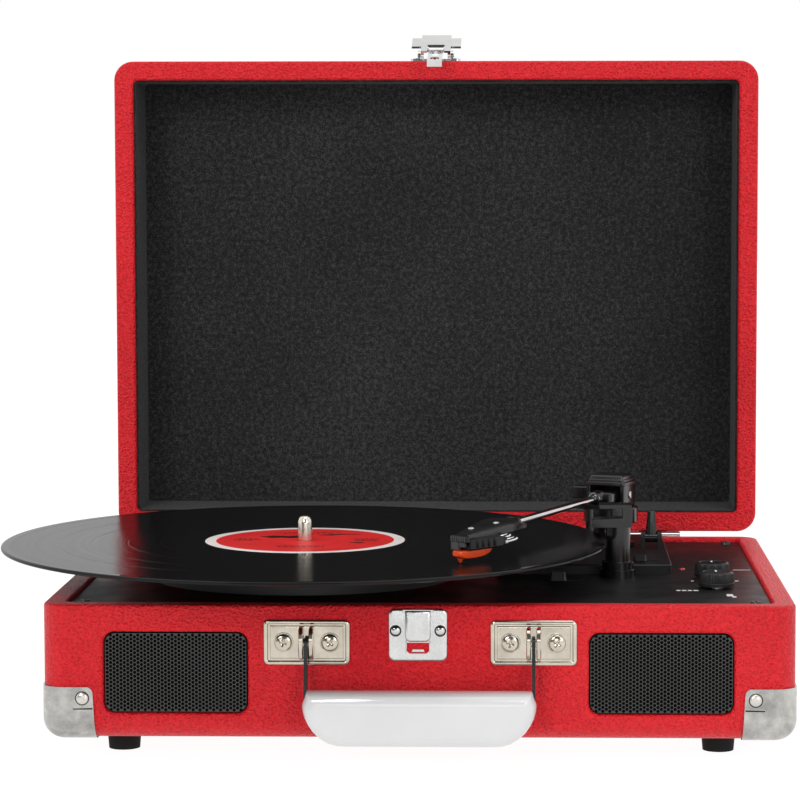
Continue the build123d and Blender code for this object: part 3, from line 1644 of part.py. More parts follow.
# A round sleeve takes the tube, and the cover behind the lip is highest where it is widest.
shell_widest = 158.0
shell_width = 18.4
shell_front = arm_length - 2
shell_front_width = 8.6
shell_back_top = 34.0
shell_crown = 34.9
shell_lip_top = 32.4
shell_bottom = 29.4
shell_back_bottom = 28.2
lip_width = 10.6
lip_length = 3.2
lip_bottom = 29.2
neck_width = 5.0
neck_length = 3.0
cartridge_bottom = 25.3
cartridge_top = 30.4
cartridge_width = 11.0
cartridge_front = -1.5
cartridge_length = 23.0
cartridge_gap = 0.2
cartridge_middle = cartridge_front - cartridge_length / 2
with BuildPart() as headshell:
    with BuildSketch(arm_level(shell_back_bottom)):
        with BuildLine():
            Polyline(
                (sleeve_end - 2, -sleeve_radius),
                (shell_widest, -shell_width / 2),
                (shell_front, -shell_front_width / 2),
                (shell_front, shell_front_width / 2),
                (shell_widest, shell_width / 2 - 1),
                (sleeve_end - 2, sleeve_radius),
                close=True,
            )
        make_face()
    extrude(amount=shell_crown - shell_back_bottom)
    with BuildSketch(arm_side(-shell_width)):
        with BuildLine():
            Polyline(
                (sleeve_start, shell_crown + overrun),
                (sleeve_start, shell_back_top - 0.8),
                (shell_widest - 6, shell_crown),
                (shell_widest + 4, shell_crown),
                (shell_front + overrun, shell_lip_top),
                (shell_front + overrun, shell_crown + overrun),
                close=True,
            )
        make_face()
        with BuildLine():
            Polyline(
                (sleeve_end, shell_back_bottom - overrun),
                (sleeve_end, shell_back_bottom),
                (sleeve_end + 9, shell_bottom),
                (shell_front + overrun, shell_bottom),
                (shell_front + overrun, shell_back_bottom - overrun),
                close=True,
            )
        make_face()
    extrude(amount=2 * shell_width, mode=Mode.SUBTRACT)
    with BuildSketch(arm_across(sleeve_start)):
        with Locations((0, arm_height)):
            Circle(sleeve_radius)
    extrude(amount=sleeve_end - sleeve_start)
    with BuildSketch(shell_level(lip_bottom)):
        RectangleRounded(lip_length, lip_width, 1)
    extrude(amount=shell_lip_top - lip_bottom)
    with BuildSketch(shell_level(cartridge_bottom + cartridge_gap)):
        with Locations((neck_length / 2 - 1, -neck_width / 2)):
            Rectangle(neck_length, neck_width)
    extrude(amount=lip_bottom - cartridge_bottom)
    # hollow underneath, for the cartridge
    with BuildSketch(shell_level(lip_bottom - overrun)):
        with Locations((cartridge_middle, 0)):
            Rectangle(cartridge_length + 2 * cartridge_gap, cartridge_width + 2 * cartridge_gap)
    extrude(amount=cartridge_top - lip_bottom + overrun, mode=Mode.SUBTRACT)
    with BuildSketch(arm_across(sleeve_start - overrun)):
        with Locations((0, arm_height)):
            Circle(arm_tube_radius)
    extrude(amount=tube_end - sleeve_start + overrun, mode=Mode.SUBTRACT)
headshell.part.label = "headshell"
export_step(headshell.part, "parts/headshell.step")

with BuildPart() as cartridge:
    with BuildSketch(shell_level(cartridge_bottom)):
        with Locations((cartridge_middle, 0)):
            Rectangle(cartridge_length, cartridge_width)
    extrude(amount=cartridge_top - cartridge_bottom)
    chamfer(cartridge.faces().sort_by(Axis.Z)[0].edges(), 0.6)
cartridge.part.label = "cartridge"
export_step(cartridge.part, "parts/cartridge.step")

# The stylus clips under the cartridge; its point stands just over the groove.
stylus_tip = record_top + stylus_gap
stylus_half = 3.0
stylus_front = 3.0
stylus_back = -20.0
stylus_bottom = 21.2
with BuildPart() as stylus:
    with BuildSketch(shell_side(-stylus_half)):
        with BuildLine():
            Polyline(
                (stylus_front, cartridge_bottom),
                (stylus_front, stylus_bottom + 1.3),
                (stylus_front - 3, stylus_bottom),
                (stylus_back + 4, stylus_bottom + 0.2),
                (stylus_back, stylus_bottom + 2.4),
                (stylus_back, cartridge_bottom),
                close=True,
            )
        make_face()
    extrude(amount=2 * stylus_half)
    with BuildSketch(shell_side(-0.6)):
        with BuildLine():
            Polyline(
                (-2.2, stylus_bottom + 0.4),
                (0, stylus_tip),
                (1.2, stylus_bottom + 0.4),
                close=True,
            )
        make_face()
    extrude(amount=1.2)
stylus.part.label = "stylus"
export_step(stylus.part, "parts/stylus.step")

# ---------------------------------------------------------------- cueing lift
lever_top = 22.7
lever_hub = 3.4
lever_hub_half = 2.7
lever_half = 2.0
lever_pin_half = 5.3
with BuildPart() as lift_lever:
    with BuildSketch(side(lever_x - lever_hub_half)):
        with Locations((lever_y, lever_z)):
            Circle(lever_hub)
    extrude(amount=2 * lever_hub_half)
    with BuildSketch(side(lever_x - lever_half)):
        with BuildLine():
            Polyline(
                (lever_y - 2.2, lever_z),
                (lever_y + 2.2, lever_z),
                (lever_y + 1.4, lever_top),
                (lever_y - 1.0, lever_top),
                close=True,
            )
        make_face()
    extrude(amount=2 * lever_half)
    with BuildSketch(side(lever_x - lever_pin_half)):
        with Locations((lever_y, lever_z)):
            Circle(lever_pin_radius)
    extrude(amount=2 * lever_pin_half)
lift_lever.part.label = "lift_lever"
export_step(lift_lever.part, "parts/lift_lever.step")

stem_bottom = deck_bottom - 6
lift_top = arm_height - arm_tube_radius - 0.3
arc_low = math.degrees(arm_angle) - label_swing - 3
arc_span = park_swing + label_swing + 6
arc_inner = arc_radius - 2
arc_outer = arc_radius + 2
arc_thickness = 2.0
with BuildPart() as lift_platform:
    with BuildSketch(spot(pivot_x, pivot_y, lift_top - arc_thickness)):
        with BuildLine():
            outer_arc = CenterArc((0, 0), arc_outer, arc_low, arc_span)
            inner_arc = CenterArc((0, 0), arc_inner, arc_low, arc_span)
            Line(outer_arc @ 0, inner_arc @ 0)
            Line(outer_arc @ 1, inner_arc @ 1)
        make_face()
    extrude(amount=arc_thickness)
    with BuildSketch(level(stem_bottom)):
        with Locations((stem_x, stem_y)):
            Circle(stem_radius)
    extrude(amount=lift_top - arc_thickness - stem_bottom)
lift_platform.part.label = "lift_platform"
export_step(lift_platform.part, "parts/lift_platform.step")
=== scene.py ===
import json
import math
import random

import bmesh
import bpy
from mathutils import Matrix, Vector


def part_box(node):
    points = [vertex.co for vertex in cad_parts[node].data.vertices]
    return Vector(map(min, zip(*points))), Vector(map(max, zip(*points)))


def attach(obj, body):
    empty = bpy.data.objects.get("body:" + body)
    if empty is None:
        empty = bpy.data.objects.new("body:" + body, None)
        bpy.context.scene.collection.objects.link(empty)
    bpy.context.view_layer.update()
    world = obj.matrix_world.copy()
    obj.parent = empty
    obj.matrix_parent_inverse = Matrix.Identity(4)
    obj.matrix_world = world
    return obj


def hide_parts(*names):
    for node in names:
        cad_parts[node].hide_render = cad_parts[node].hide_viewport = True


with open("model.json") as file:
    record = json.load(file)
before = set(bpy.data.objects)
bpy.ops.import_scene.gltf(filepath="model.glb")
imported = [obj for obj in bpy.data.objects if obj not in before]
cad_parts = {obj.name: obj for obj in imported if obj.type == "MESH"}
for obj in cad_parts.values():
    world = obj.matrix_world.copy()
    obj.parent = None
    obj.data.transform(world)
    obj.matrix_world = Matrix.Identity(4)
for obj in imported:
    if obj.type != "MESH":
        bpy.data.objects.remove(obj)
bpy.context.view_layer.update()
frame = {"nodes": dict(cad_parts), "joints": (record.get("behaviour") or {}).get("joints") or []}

# ---------------- the case's own directions
MM = 0.001
base_low, base_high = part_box("base_shell")
case_x = (base_low[0] + base_high[0]) / 2
front_y = base_low[1]
rim_z = base_high[2]
case_w = (base_high[0] - base_low[0]) / MM
case_d = (base_high[1] - base_low[1]) / MM


def at(x, y, z):
    """A point in metres, from millimetres right of the case's middle, behind its front and above it."""
    return Vector((case_x + x * MM, front_y + y * MM, rim_z + z * MM))


def case_box(node):
    """A node's lowest and highest corners in the case's millimetres."""
    low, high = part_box(node)
    origin = (case_x, front_y, rim_z)
    return [(low[i] - origin[i]) / MM for i in range(3)], [(high[i] - origin[i]) / MM for i in range(3)]


# ---------------- node tools
class Nodes:
    """A material's node tree, with short ways to add and join nodes."""

    def __init__(self, name):
        self.material = bpy.data.materials.new(name)
        self.material.use_nodes = True
        self.tree = self.material.node_tree
        self.shader = self.tree.nodes["Principled BSDF"]
        self.coords = None

    def add(self, kind, **values):
        node = self.tree.nodes.new(kind)
        for key, value in values.items():
            setattr(node, key, value)
        return node

    def link(self, source, target):
        self.tree.links.new(source, target)

    def place(self):
        if self.coords is None:
            self.coords = self.add("ShaderNodeTexCoord").outputs["Object"]
        return self.coords

    def set(self, **values):
        for key, value in values.items():
            name = key.replace("_", " ").title().replace("Ior", "IOR")
            self.shader.inputs[name].default_value = value

    def noise(self, scale, detail=4.0, rough=0.5, stretch=None, vector=None):
        node = self.add("ShaderNodeTexNoise")
        node.inputs["Scale"].default_value = scale
        node.inputs["Detail"].default_value = detail
        node.inputs["Roughness"].default_value = rough
        source = vector or self.place()
        if stretch:
            mapping = self.add("ShaderNodeMapping")
            mapping.inputs["Scale"].default_value = stretch
            self.link(source, mapping.inputs["Vector"])
            source = mapping.outputs["Vector"]
        self.link(source, node.inputs["Vector"])
        return node.outputs["Fac"]

    def cells(self, scale, smooth):
        node = self.add("ShaderNodeTexVoronoi", feature="SMOOTH_F1")
        node.inputs["Scale"].default_value = scale
        node.inputs["Smoothness"].default_value = smooth
        self.link(self.place(), node.inputs["Vector"])
        return node.outputs["Distance"]

    def maths(self, operation, a, b):
        node = self.add("ShaderNodeMath", operation=operation)
        for value, socket in ((a, node.inputs[0]), (b, node.inputs[1])):
            if isinstance(value, (int, float)):
                socket.default_value = value
            else:
                self.link(value, socket)
        return node.outputs[0]

    def ramp(self, fac, *stops):
        node = self.add("ShaderNodeValToRGB")
        elements = node.color_ramp.elements
        while len(elements) < len(stops):
            elements.new(0.5)
        for element, (position, colour) in zip(elements, stops):
            element.position = position
            element.color = (*colour, 1)
        self.link(fac, node.inputs["Fac"])
        return node.outputs["Color"]

    def levels(self, fac, low, high, to_low, to_high):
        node = self.add("ShaderNodeMapRange")
        for name, value in zip(("From Min", "From Max", "To Min", "To Max"), (low, high, to_low, to_high)):
            node.inputs[name].default_value = value
        self.link(fac, node.inputs["Value"])
        return node.outputs["Result"]

    def bump(self, *layers):
        """Adds bump layers, each of (height, strength, distance in metres), one on top of another."""
        normal = None
        for height, strength, distance in layers:
            node = self.add("ShaderNodeBump")
            node.inputs["Strength"].default_value = strength
            node.inputs["Distance"].default_value = distance
            self.link(height, node.inputs["Height"])
            if normal is not None:
                self.link(normal, node.inputs["Normal"])
            normal = node.outputs["Normal"]
        self.link(normal, self.shader.inputs["Normal"])

    def colour(self, source):
        self.link(source, self.shader.inputs["Base Color"])

    def roughness(self, source):
        self.link(source, self.shader.inputs["Roughness"])


# ---------------- materials
def leatherette_material():
    m = Nodes("red_leatherette")
    grain = m.cells(780, 0.5)
    creases = m.noise(620, 6, 0.6, stretch=(1.0, 1.0, 1.5))
    soft = m.noise(11, 3, 0.5)
    mixed = m.maths("ADD", m.maths("MULTIPLY", grain, 0.6), m.maths("MULTIPLY", creases, 0.9))
    shade = m.maths("ADD", m.maths("MULTIPLY", mixed, 0.60), m.maths("MULTIPLY", soft, 0.4))
    # the colour follows the grain's height and is darker in its hollows: partly the grain's own tone,
    # partly painted shade
    m.colour(m.ramp(shade, (0.40, (0.44, 0.003, 0.008)), (0.58, (0.62, 0.006, 0.014)),
                    (0.76, (0.76, 0.013, 0.020))))
    m.roughness(m.levels(creases, 0.3, 0.7, 0.28, 0.44))
    m.bump((mixed, 1.0, 0.0016), (m.noise(2100, 2, 0.5), 0.2, 0.0001))
    m.set(specular_ior_level=0.30)
    return m.material


def lining_material():
    m = Nodes("charcoal_lining")
    fibres = m.noise(2300, 3, 0.7)
    tufts = m.noise(420, 5, 0.65)
    patches = m.noise(9, 3, 0.5)
    shade = m.maths("ADD", m.maths("MULTIPLY", fibres, 0.55),
                    m.maths("ADD", m.maths("MULTIPLY", tufts, 0.35), m.maths("MULTIPLY", patches, 0.10)))
    m.colour(m.ramp(shade, (0.38, (0.006, 0.006, 0.0065)), (0.50, (0.019, 0.019, 0.020)),
                    (0.62, (0.075, 0.074, 0.076))))
    m.set(roughness=0.95, sheen_weight=0.08, sheen_roughness=0.5, specular_ior_level=0.10)
    m.bump((shade, 0.6, 0.0006))
    return m.material


def plastic_material(name, colour, rough, grain=1400, depth=0.00004, coat=0.0, spread=0.35, shine=0.5):
    """Moulded plastic or paint: a fine grain, and slightly uneven colour and gloss."""
    m = Nodes(name)
    cloud = m.noise(60, 4, 0.55)
    fine = m.noise(grain, 2, 0.5)
    low = tuple(c * (1 - spread) for c in colour)
    high = tuple(min(1, c * (1 + spread)) for c in colour)
    m.colour(m.ramp(cloud, (0.3, low), (0.7, high)))
    m.roughness(m.levels(cloud, 0.3, 0.7, rough * 0.85, min(1, rough * 1.2)))
    m.bump((fine, 0.4, depth))
    m.set(coat_weight=coat, coat_roughness=0.12, specular_ior_level=shine)
    return m.material


def metal_material(name, colour, rough, brush=None, wear_and_painted_shade=0.0, spread=0.08, dents=0.0):
    """Plated or bare metal: brush stretches the grain, and the patches darken it, partly as worn spots and
    partly as painted shade.
    """
    m = Nodes(name)
    grain = m.noise(900, 4, 0.6, stretch=brush)
    patches = m.noise(70, 6, 0.65)
    low = tuple(c * (1 - spread - wear_and_painted_shade) for c in colour)
    m.colour(m.ramp(patches, (0.32, low), (0.62, colour)))
    m.roughness(m.levels(m.maths("ADD", m.maths("MULTIPLY", grain, 0.5),
                                 m.maths("MULTIPLY", patches, 0.5)), 0.35, 0.65, rough * 0.6, rough * 1.5))
    m.bump((grain, 0.25 if brush else 0.12, 0.00004), (m.noise(38, 3, 0.5), dents, 0.002))
    m.set(metallic=1.0)
    return m.material


def vinyl_material(centre, groove_low, groove_high):
    """Black vinyl with concentric grooves between two radii, in metres, round an upright axis."""
    m = Nodes("grooved_vinyl")
    offset = m.add("ShaderNodeVectorMath", operation="SUBTRACT")
    offset.inputs[1].default_value = (centre[0], centre[1], 0)
    m.link(m.place(), offset.inputs[0])
    flat = m.add("ShaderNodeVectorMath", operation="MULTIPLY")
    flat.inputs[1].default_value = (1, 1, 0)
    m.link(offset.outputs[0], flat.inputs[0])
    length = m.add("ShaderNodeVectorMath", operation="LENGTH")
    m.link(flat.outputs[0], length.inputs[0])
    radius = length.outputs["Value"]
    combine = m.add("ShaderNodeCombineXYZ")
    m.link(radius, combine.inputs[0])
    bands = m.noise(260, 5, 0.7, vector=combine.outputs[0])
    fine = m.noise(5200, 2, 0.6, vector=combine.outputs[0])
    inside = m.maths("MULTIPLY", m.maths("GREATER_THAN", radius, groove_low),
                     m.maths("LESS_THAN", radius, groove_high))
    wave = m.maths("MULTIPLY", m.maths("ADD", fine, m.maths("MULTIPLY", bands, 0.6)), inside)
    m.colour(m.ramp(bands, (0.35, (0.0035, 0.0035, 0.004)), (0.65, (0.008, 0.008, 0.009))))
    m.roughness(m.levels(m.maths("MULTIPLY", bands, inside), 0.0, 0.7, 0.06, 0.17))
    m.bump((wave, 0.6, 0.00006))
    m.set(anisotropic=0.3, specular_ior_level=0.28)
    tangent = m.add("ShaderNodeTangent", direction_type="RADIAL", axis="Z")
    m.link(tangent.outputs[0], m.shader.inputs["Tangent"])
    # much of the light is lost in the grooves
    dark = m.add("ShaderNodeBsdfDiffuse")
    dark.inputs["Color"].default_value = (0.004, 0.004, 0.004, 1)
    mix = m.add("ShaderNodeMixShader")
    mix.inputs["Fac"].default_value = 0.62
    m.link(dark.outputs[0], mix.inputs[1])
    m.link(m.shader.outputs[0], mix.inputs[2])
    m.link(mix.outputs[0], m.tree.nodes["Material Output"].inputs["Surface"])
    return m.material


FLOOR_COLOUR = (0.08, 0.08, 0.08)


def floor_material():
    m = Nodes("pale_floor")
    cloud = m.noise(3, 3, 0.5)
    low = tuple(c * 0.985 for c in FLOOR_COLOUR)
    m.colour(m.ramp(cloud, (0.3, low), (0.7, FLOOR_COLOUR)))
    m.set(roughness=0.6, specular_ior_level=0.1, emission_color=(1, 1, 1, 1), emission_strength=0.96)
    return m.material


leatherette = leatherette_material()
lining = lining_material()
deck_black = plastic_material(
    "deck_satin_black", (0.005, 0.005, 0.0055), 0.40, grain=2400, depth=0.00008, shine=0.28)
arm_black = plastic_material("arm_moulding_black", (0.005, 0.005, 0.005), 0.18, shine=0.55)
shell_black = plastic_material("shell_moulding_black", (0.006, 0.006, 0.006), 0.30, shine=0.3)
cap_black = plastic_material("cap_moulding_black", (0.008, 0.008, 0.008), 0.22, shine=0.65)
lip_grey = plastic_material("textured_grey", (0.060, 0.060, 0.061), 0.6, grain=2600, depth=0.0002)
control_black = plastic_material("control_black", (0.008, 0.008, 0.0085), 0.32, shine=0.35)
grille_black = plastic_material("grille_enamel", (0.014, 0.013, 0.012), 0.26, shine=0.7)
# a near-black sheet behind the grilles: painted shade for the speaker recess seen through the holes
shade_sheet_black = plastic_material(
    "grille_backing_painted_shade", (0.0035, 0.0035, 0.0032), 0.9, grain=2500, depth=0.0002, shine=0.1)
# near-black for the guards' fold seams, and painted shadow in the rings round rivet heads
shadow_black = plastic_material("seam_and_painted_shadow", (0.010, 0.009, 0.008), 0.7, shine=0.1)
screw_black = plastic_material("screw_black_oxide", (0.012, 0.012, 0.012), 0.28)
rubber_black = plastic_material("foot_rubber", (0.008, 0.008, 0.008), 0.75, depth=0.0001, shine=0.2)
mat_black = plastic_material("mat_rubber", (0.010, 0.010, 0.010), 0.85, depth=0.0001, shine=0.2)
platter_black = plastic_material("platter_paint", (0.009, 0.009, 0.009), 0.4, shine=0.3)
stylus_red = plastic_material("stylus_orange_red", (0.82, 0.075, 0.012), 0.28, spread=0.12)
handle_white = plastic_material("handle_gloss_white", (0.65, 0.645, 0.65), 0.12, coat=0.5, spread=0.02)
lamp_red = plastic_material("lamp_lens", (0.45, 0.02, 0.02), 0.12, coat=0.5, spread=0.15)
board_green = plastic_material("board_green", (0.012, 0.10, 0.035), 0.45)
cone_black = plastic_material("cone_pulp", (0.008, 0.008, 0.008), 0.85, grain=700, depth=0.0002, shine=0.1)
label_red = plastic_material("label_red_paper", (0.62, 0.014, 0.014), 0.5, spread=0.08, shine=0.3)
label_white = plastic_material("label_white_paper", (0.74, 0.68, 0.66), 0.5, spread=0.05)
label_ink = plastic_material("label_dark_ink", (0.010, 0.005, 0.005), 0.5, shine=0.2)
print_white = plastic_material("printed_white", (0.7, 0.7, 0.7), 0.5, spread=0.05)
# the guards' heavy dark patches are mostly painted shade, standing in for the mottled reflections on them
guard_steel = metal_material("guard_satin_nickel", (0.55, 0.54, 0.51), 0.17, wear_and_painted_shade=0.45, dents=0.8)
nickel = metal_material("warm_nickel", (0.62, 0.565, 0.475), 0.13, wear_and_painted_shade=0.14, dents=0.15)
satin_nickel = metal_material("satin_warm_nickel", (0.70, 0.67, 0.62), 0.30, wear_and_painted_shade=0.10)
brushed_chrome = metal_material("brushed_keeper", (0.70, 0.70, 0.69), 0.24, brush=(6, 6, 0.4), wear_and_painted_shade=0.12)
chrome = metal_material("bright_chrome", (0.66, 0.66, 0.655), 0.07, wear_and_painted_shade=0.08)
steel = metal_material("turned_steel", (0.62, 0.61, 0.60), 0.25)
spindle_steel = metal_material("spindle_polish", (0.78, 0.72, 0.62), 0.18)
brass = metal_material("turned_brass", (0.72, 0.50, 0.22), 0.28)
basket_steel = metal_material("basket_zinc", (0.36, 0.36, 0.37), 0.45)

node_materials = {
    leatherette: ["base_shell", "lid_shell"],
    lining: ["lid_lining"],
    guard_steel: ["corner_guards", "case_rivets"],
    rubber_black: ["feet", "drive_belt"],
    mat_black: ["platter_mat"],
    steel: ["foot_screws", "motor", "hinge_pins", "handle_pins", "latch_pins", "rca_jacks",
            "potentiometers"],
    screw_black: ["deck_screws", "handle_straps"],
    deck_black: ["deck_panel", "tonearm_base"],
    grille_black: ["grille_left", "grille_right"],
    basket_steel: ["speaker_baskets", "speaker_magnets"],
    cone_black: ["speaker_cones"],
    nickel: ["handle_brackets", "bracket_screws"],
    brushed_chrome: ["keeper_plate"],
    chrome: ["base_hinge_leaves", "lid_hinge_leaves", "lid_rivets", "latch_plate", "latch_lever",
             "latch_loop", "tonearm_tube"],
    spindle_steel: ["spindle"],
    brass: ["spindle_bearing", "motor_pulley"],
    board_green: ["circuit_board"],
    control_black: ["power_jack", "headphone_jack", "volume_knob", "tone_knob", "speed_switch",
                    "auto_stop_switch"],
    lamp_red: ["power_led"],
    arm_black: ["pivot_base", "arm_rest", "tonearm_yoke", "tonearm_cap", "arm_holder", "headshell",
                "cartridge", "lift_lever", "lift_platform"],
    stylus_red: ["stylus"],
    platter_black: ["platter"],
    label_red: ["record_labels"],
    handle_white: ["handle_grip"],
}
record_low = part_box("record")[0]
spindle_low, spindle_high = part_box("spindle")
label_low, label_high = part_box("record_labels")
spindle = ((spindle_low[0] + spindle_high[0]) / 2, (spindle_low[1] + spindle_high[1]) / 2)
label_radius = (label_high[0] - label_low[0]) / 2
record_radius = spindle[0] - record_low[0]
vinyl = vinyl_material(spindle, label_radius + 0.008, record_radius - 0.004)
node_materials[vinyl] = ["record"]

for material, names in node_materials.items():
    for name in names:
        mesh = frame["nodes"][name].data
        mesh.materials.clear()
        mesh.materials.append(material)


# ---------------- mesh tools
def frame_at(x, y, z, u, v, w):
    """A matrix from local millimetres, along the directions u, v and w, to metres."""
    turn = Matrix((Vector(u), Vector(v), Vector(w))).transposed()
    return Matrix.Translation(at(x, y, z)) @ turn.to_4x4() @ Matrix.Scale(MM, 4)


def front_frame(x, y, z):
    """Local x is right, y is up and z is forwards."""
    return frame_at(x, y, z, (1, 0, 0), (0, 0, 1), (0, -1, 0))


def top_frame(x, y, z):
    """Local x is right, y is back and z is up."""
    return frame_at(x, y, z, (1, 0, 0), (0, 1, 0), (0, 0, 1))


def side_frame(x, y, z):
    """Local x is back, y is up and z is right."""
    return frame_at(x, y, z, (0, 1, 0), (0, 0, 1), (1, 0, 0))


def join(bm, rings):
    """Faces between rings of equally many points, and a cap at each end."""
    count = len(rings[0])
    for a, b in zip(rings, rings[1:]):
        for i in range(count):
            j = (i + 1) % count
            bm.faces.new((a[i], a[j], b[j], b[i]))
    bm.faces.new(list(reversed(rings[0])))
    bm.faces.new(rings[-1])


def loft(bm, matrix, loops):
    """Joins loops of equally many local points, and caps the first and last."""
    join(bm, [[bm.verts.new(matrix @ Vector(p)) for p in loop] for loop in loops])


def rounded_rect(width, height, radius, steps=5, x=0.0, y=0.0):
    """An anticlockwise outline with rounded corners round (x, y)."""
    radius = max(min(radius, width / 2, height / 2), 0.05)
    points = []
    for quarter, (sx, sy) in enumerate(((1, 1), (-1, 1), (-1, -1), (1, -1))):
        for i in range(steps + 1):
            angle = math.pi / 2 * (quarter + i / steps)
            points.append((x + sx * (width / 2 - radius) + radius * math.cos(angle),
                           y + sy * (height / 2 - radius) + radius * math.sin(angle)))
    return points


def rect_loft(bm, matrix, width, height, radius, levels, x=0.0, y=0.0, steps=5):
    """A rounded block: each level is (how far inside the outline, local z)."""
    loops = []
    for inset, z in levels:
        outline = rounded_rect(width - 2 * inset, height - 2 * inset, radius - inset, steps, x, y)
        loops.append([(px, py, z) for px, py in outline])
    loft(bm, matrix, loops)


def inward(outline, distance):
    """An anticlockwise outline moved inwards, corner by corner."""
    moved = []
    count = len(outline)
    for i in range(count):
        before, here, after = (Vector(outline[(i + k) % count]).to_2d() for k in (-1, 0, 1))
        n1 = Vector((-(here - before).y, (here - before).x)).normalized()
        n2 = Vector((-(after - here).y, (after - here).x)).normalized()
        n = n1 + n2
        n = n / max(n.dot(n) / 2, 0.35)
        moved.append(tuple(here + n * distance))
    return moved


def prism(bm, matrix, outline, levels):
    """A block with any outline: each level is (how far inside the outline, local z)."""
    loops = []
    for inset, z in levels:
        shape = inward(outline, inset) if abs(inset) > 1e-9 else outline
        loops.append([(p[0], p[1], z) for p in shape])
    loft(bm, matrix, loops)


def lathe(bm, matrix, profile, count=48, index=None):
    """Turns a profile of (radius, local z) round the local z axis. It is closed where it meets the axis."""
    rings = []
    for radius, z in profile:
        if radius < 1e-6:
            rings.append([bm.verts.new(matrix @ Vector((0, 0, z)))] * count)
            continue
        ring = []
        for i in range(count):
            angle = math.tau * i / count
            spot = Vector((radius * math.cos(angle), radius * math.sin(angle), z))
            ring.append(bm.verts.new(matrix @ spot))
        rings.append(ring)
    for step, (a, b) in enumerate(zip(rings, rings[1:])):
        for i in range(count):
            j = (i + 1) % count
            corners = list(dict.fromkeys((a[i], a[j], b[j], b[i])))
            if len(corners) > 2:
                face = bm.faces.new(corners)
                face.material_index = index[step] if index else 0


def tube(bm, points, radius, count):
    """A round bar through points in metres. Its radius is in millimetres."""
    normal = None
    rings = []
    for i, point in enumerate(points):
        ahead = (points[min(i + 1, len(points) - 1)] - points[max(i - 1, 0)]).normalized()
        if normal is None:
            normal = ahead.orthogonal().normalized()
        normal = (normal - ahead * normal.dot(ahead)).normalized()
        other = ahead.cross(normal)
        ring = []
        for k in range(count):
            angle = math.tau * k / count
            offset = normal * math.cos(angle) + other * math.sin(angle)
            ring.append(bm.verts.new(point + offset * radius * MM))
        rings.append(ring)
    join(bm, rings)


def piece(name, bm, materials, body, nodes=(), angle=34):
    """Makes a piece from a mesh: it rides on a body and stands for the CAD nodes that it names."""
    bmesh.ops.remove_doubles(bm, verts=bm.verts, dist=2e-7)
    bmesh.ops.recalc_face_normals(bm, faces=bm.faces)
    mesh = bpy.data.meshes.new(name)
    bm.to_mesh(mesh)
    bm.free()
    for material in materials if isinstance(materials, (list, tuple)) else (materials,):
        mesh.materials.append(material)
    mesh.polygons.foreach_set("use_smooth", [True] * len(mesh.polygons))
    mesh.set_sharp_from_angle(angle=math.radians(angle))
    obj = bpy.data.objects.new(name, mesh)
    bpy.context.collection.objects.link(obj)
    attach(obj, body)
    if nodes:
        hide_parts(*nodes)


def cross_radius(angle, reach, half):
    """How far a cross recess reaches from its middle in one direction."""
    c, s = abs(math.cos(angle)) + 1e-9, abs(math.sin(angle)) + 1e-9
    return max(min(reach / c, half / s), min(reach / s, half / c))


def pan_head(bm, matrix, radius, height, count=48, turn=0.0):
    """A domed screw head with a cross recess."""
    profile = [(radius, 0), (radius, height * 0.3)]
    top = radius * 0.55
    for i in range(1, 6):
        t = i / 5
        profile.append((radius - (radius - top) * math.sin(t * math.pi / 2) ** 2 * t,
                        height * (0.3 + 0.62 * math.sin(t * math.pi / 2))))
    loops = []
    for r, z in profile:
        loops.append([(r * math.cos(math.tau * i / count), r * math.sin(math.tau * i / count), z)
                      for i in range(count)])
    reach, half = radius * 0.46, radius * 0.14
    for scale, z in ((1.0, height * 0.97), (0.9, height * 0.45), (0.35, height * 0.2)):
        loop = []
        for i in range(count):
            a = math.tau * i / count
            r = cross_radius(a + turn, reach, half) * scale
            loop.append((r * math.cos(a), r * math.sin(a), z))
        loops.append(loop)
    loft(bm, matrix, loops)


# ---------------- speaker grilles
HOLE_ACROSS = 1.62
HOLE_PITCH = 1.87
HOLE_RADIUS = 0.79
HOLE_MARGIN = 0.3


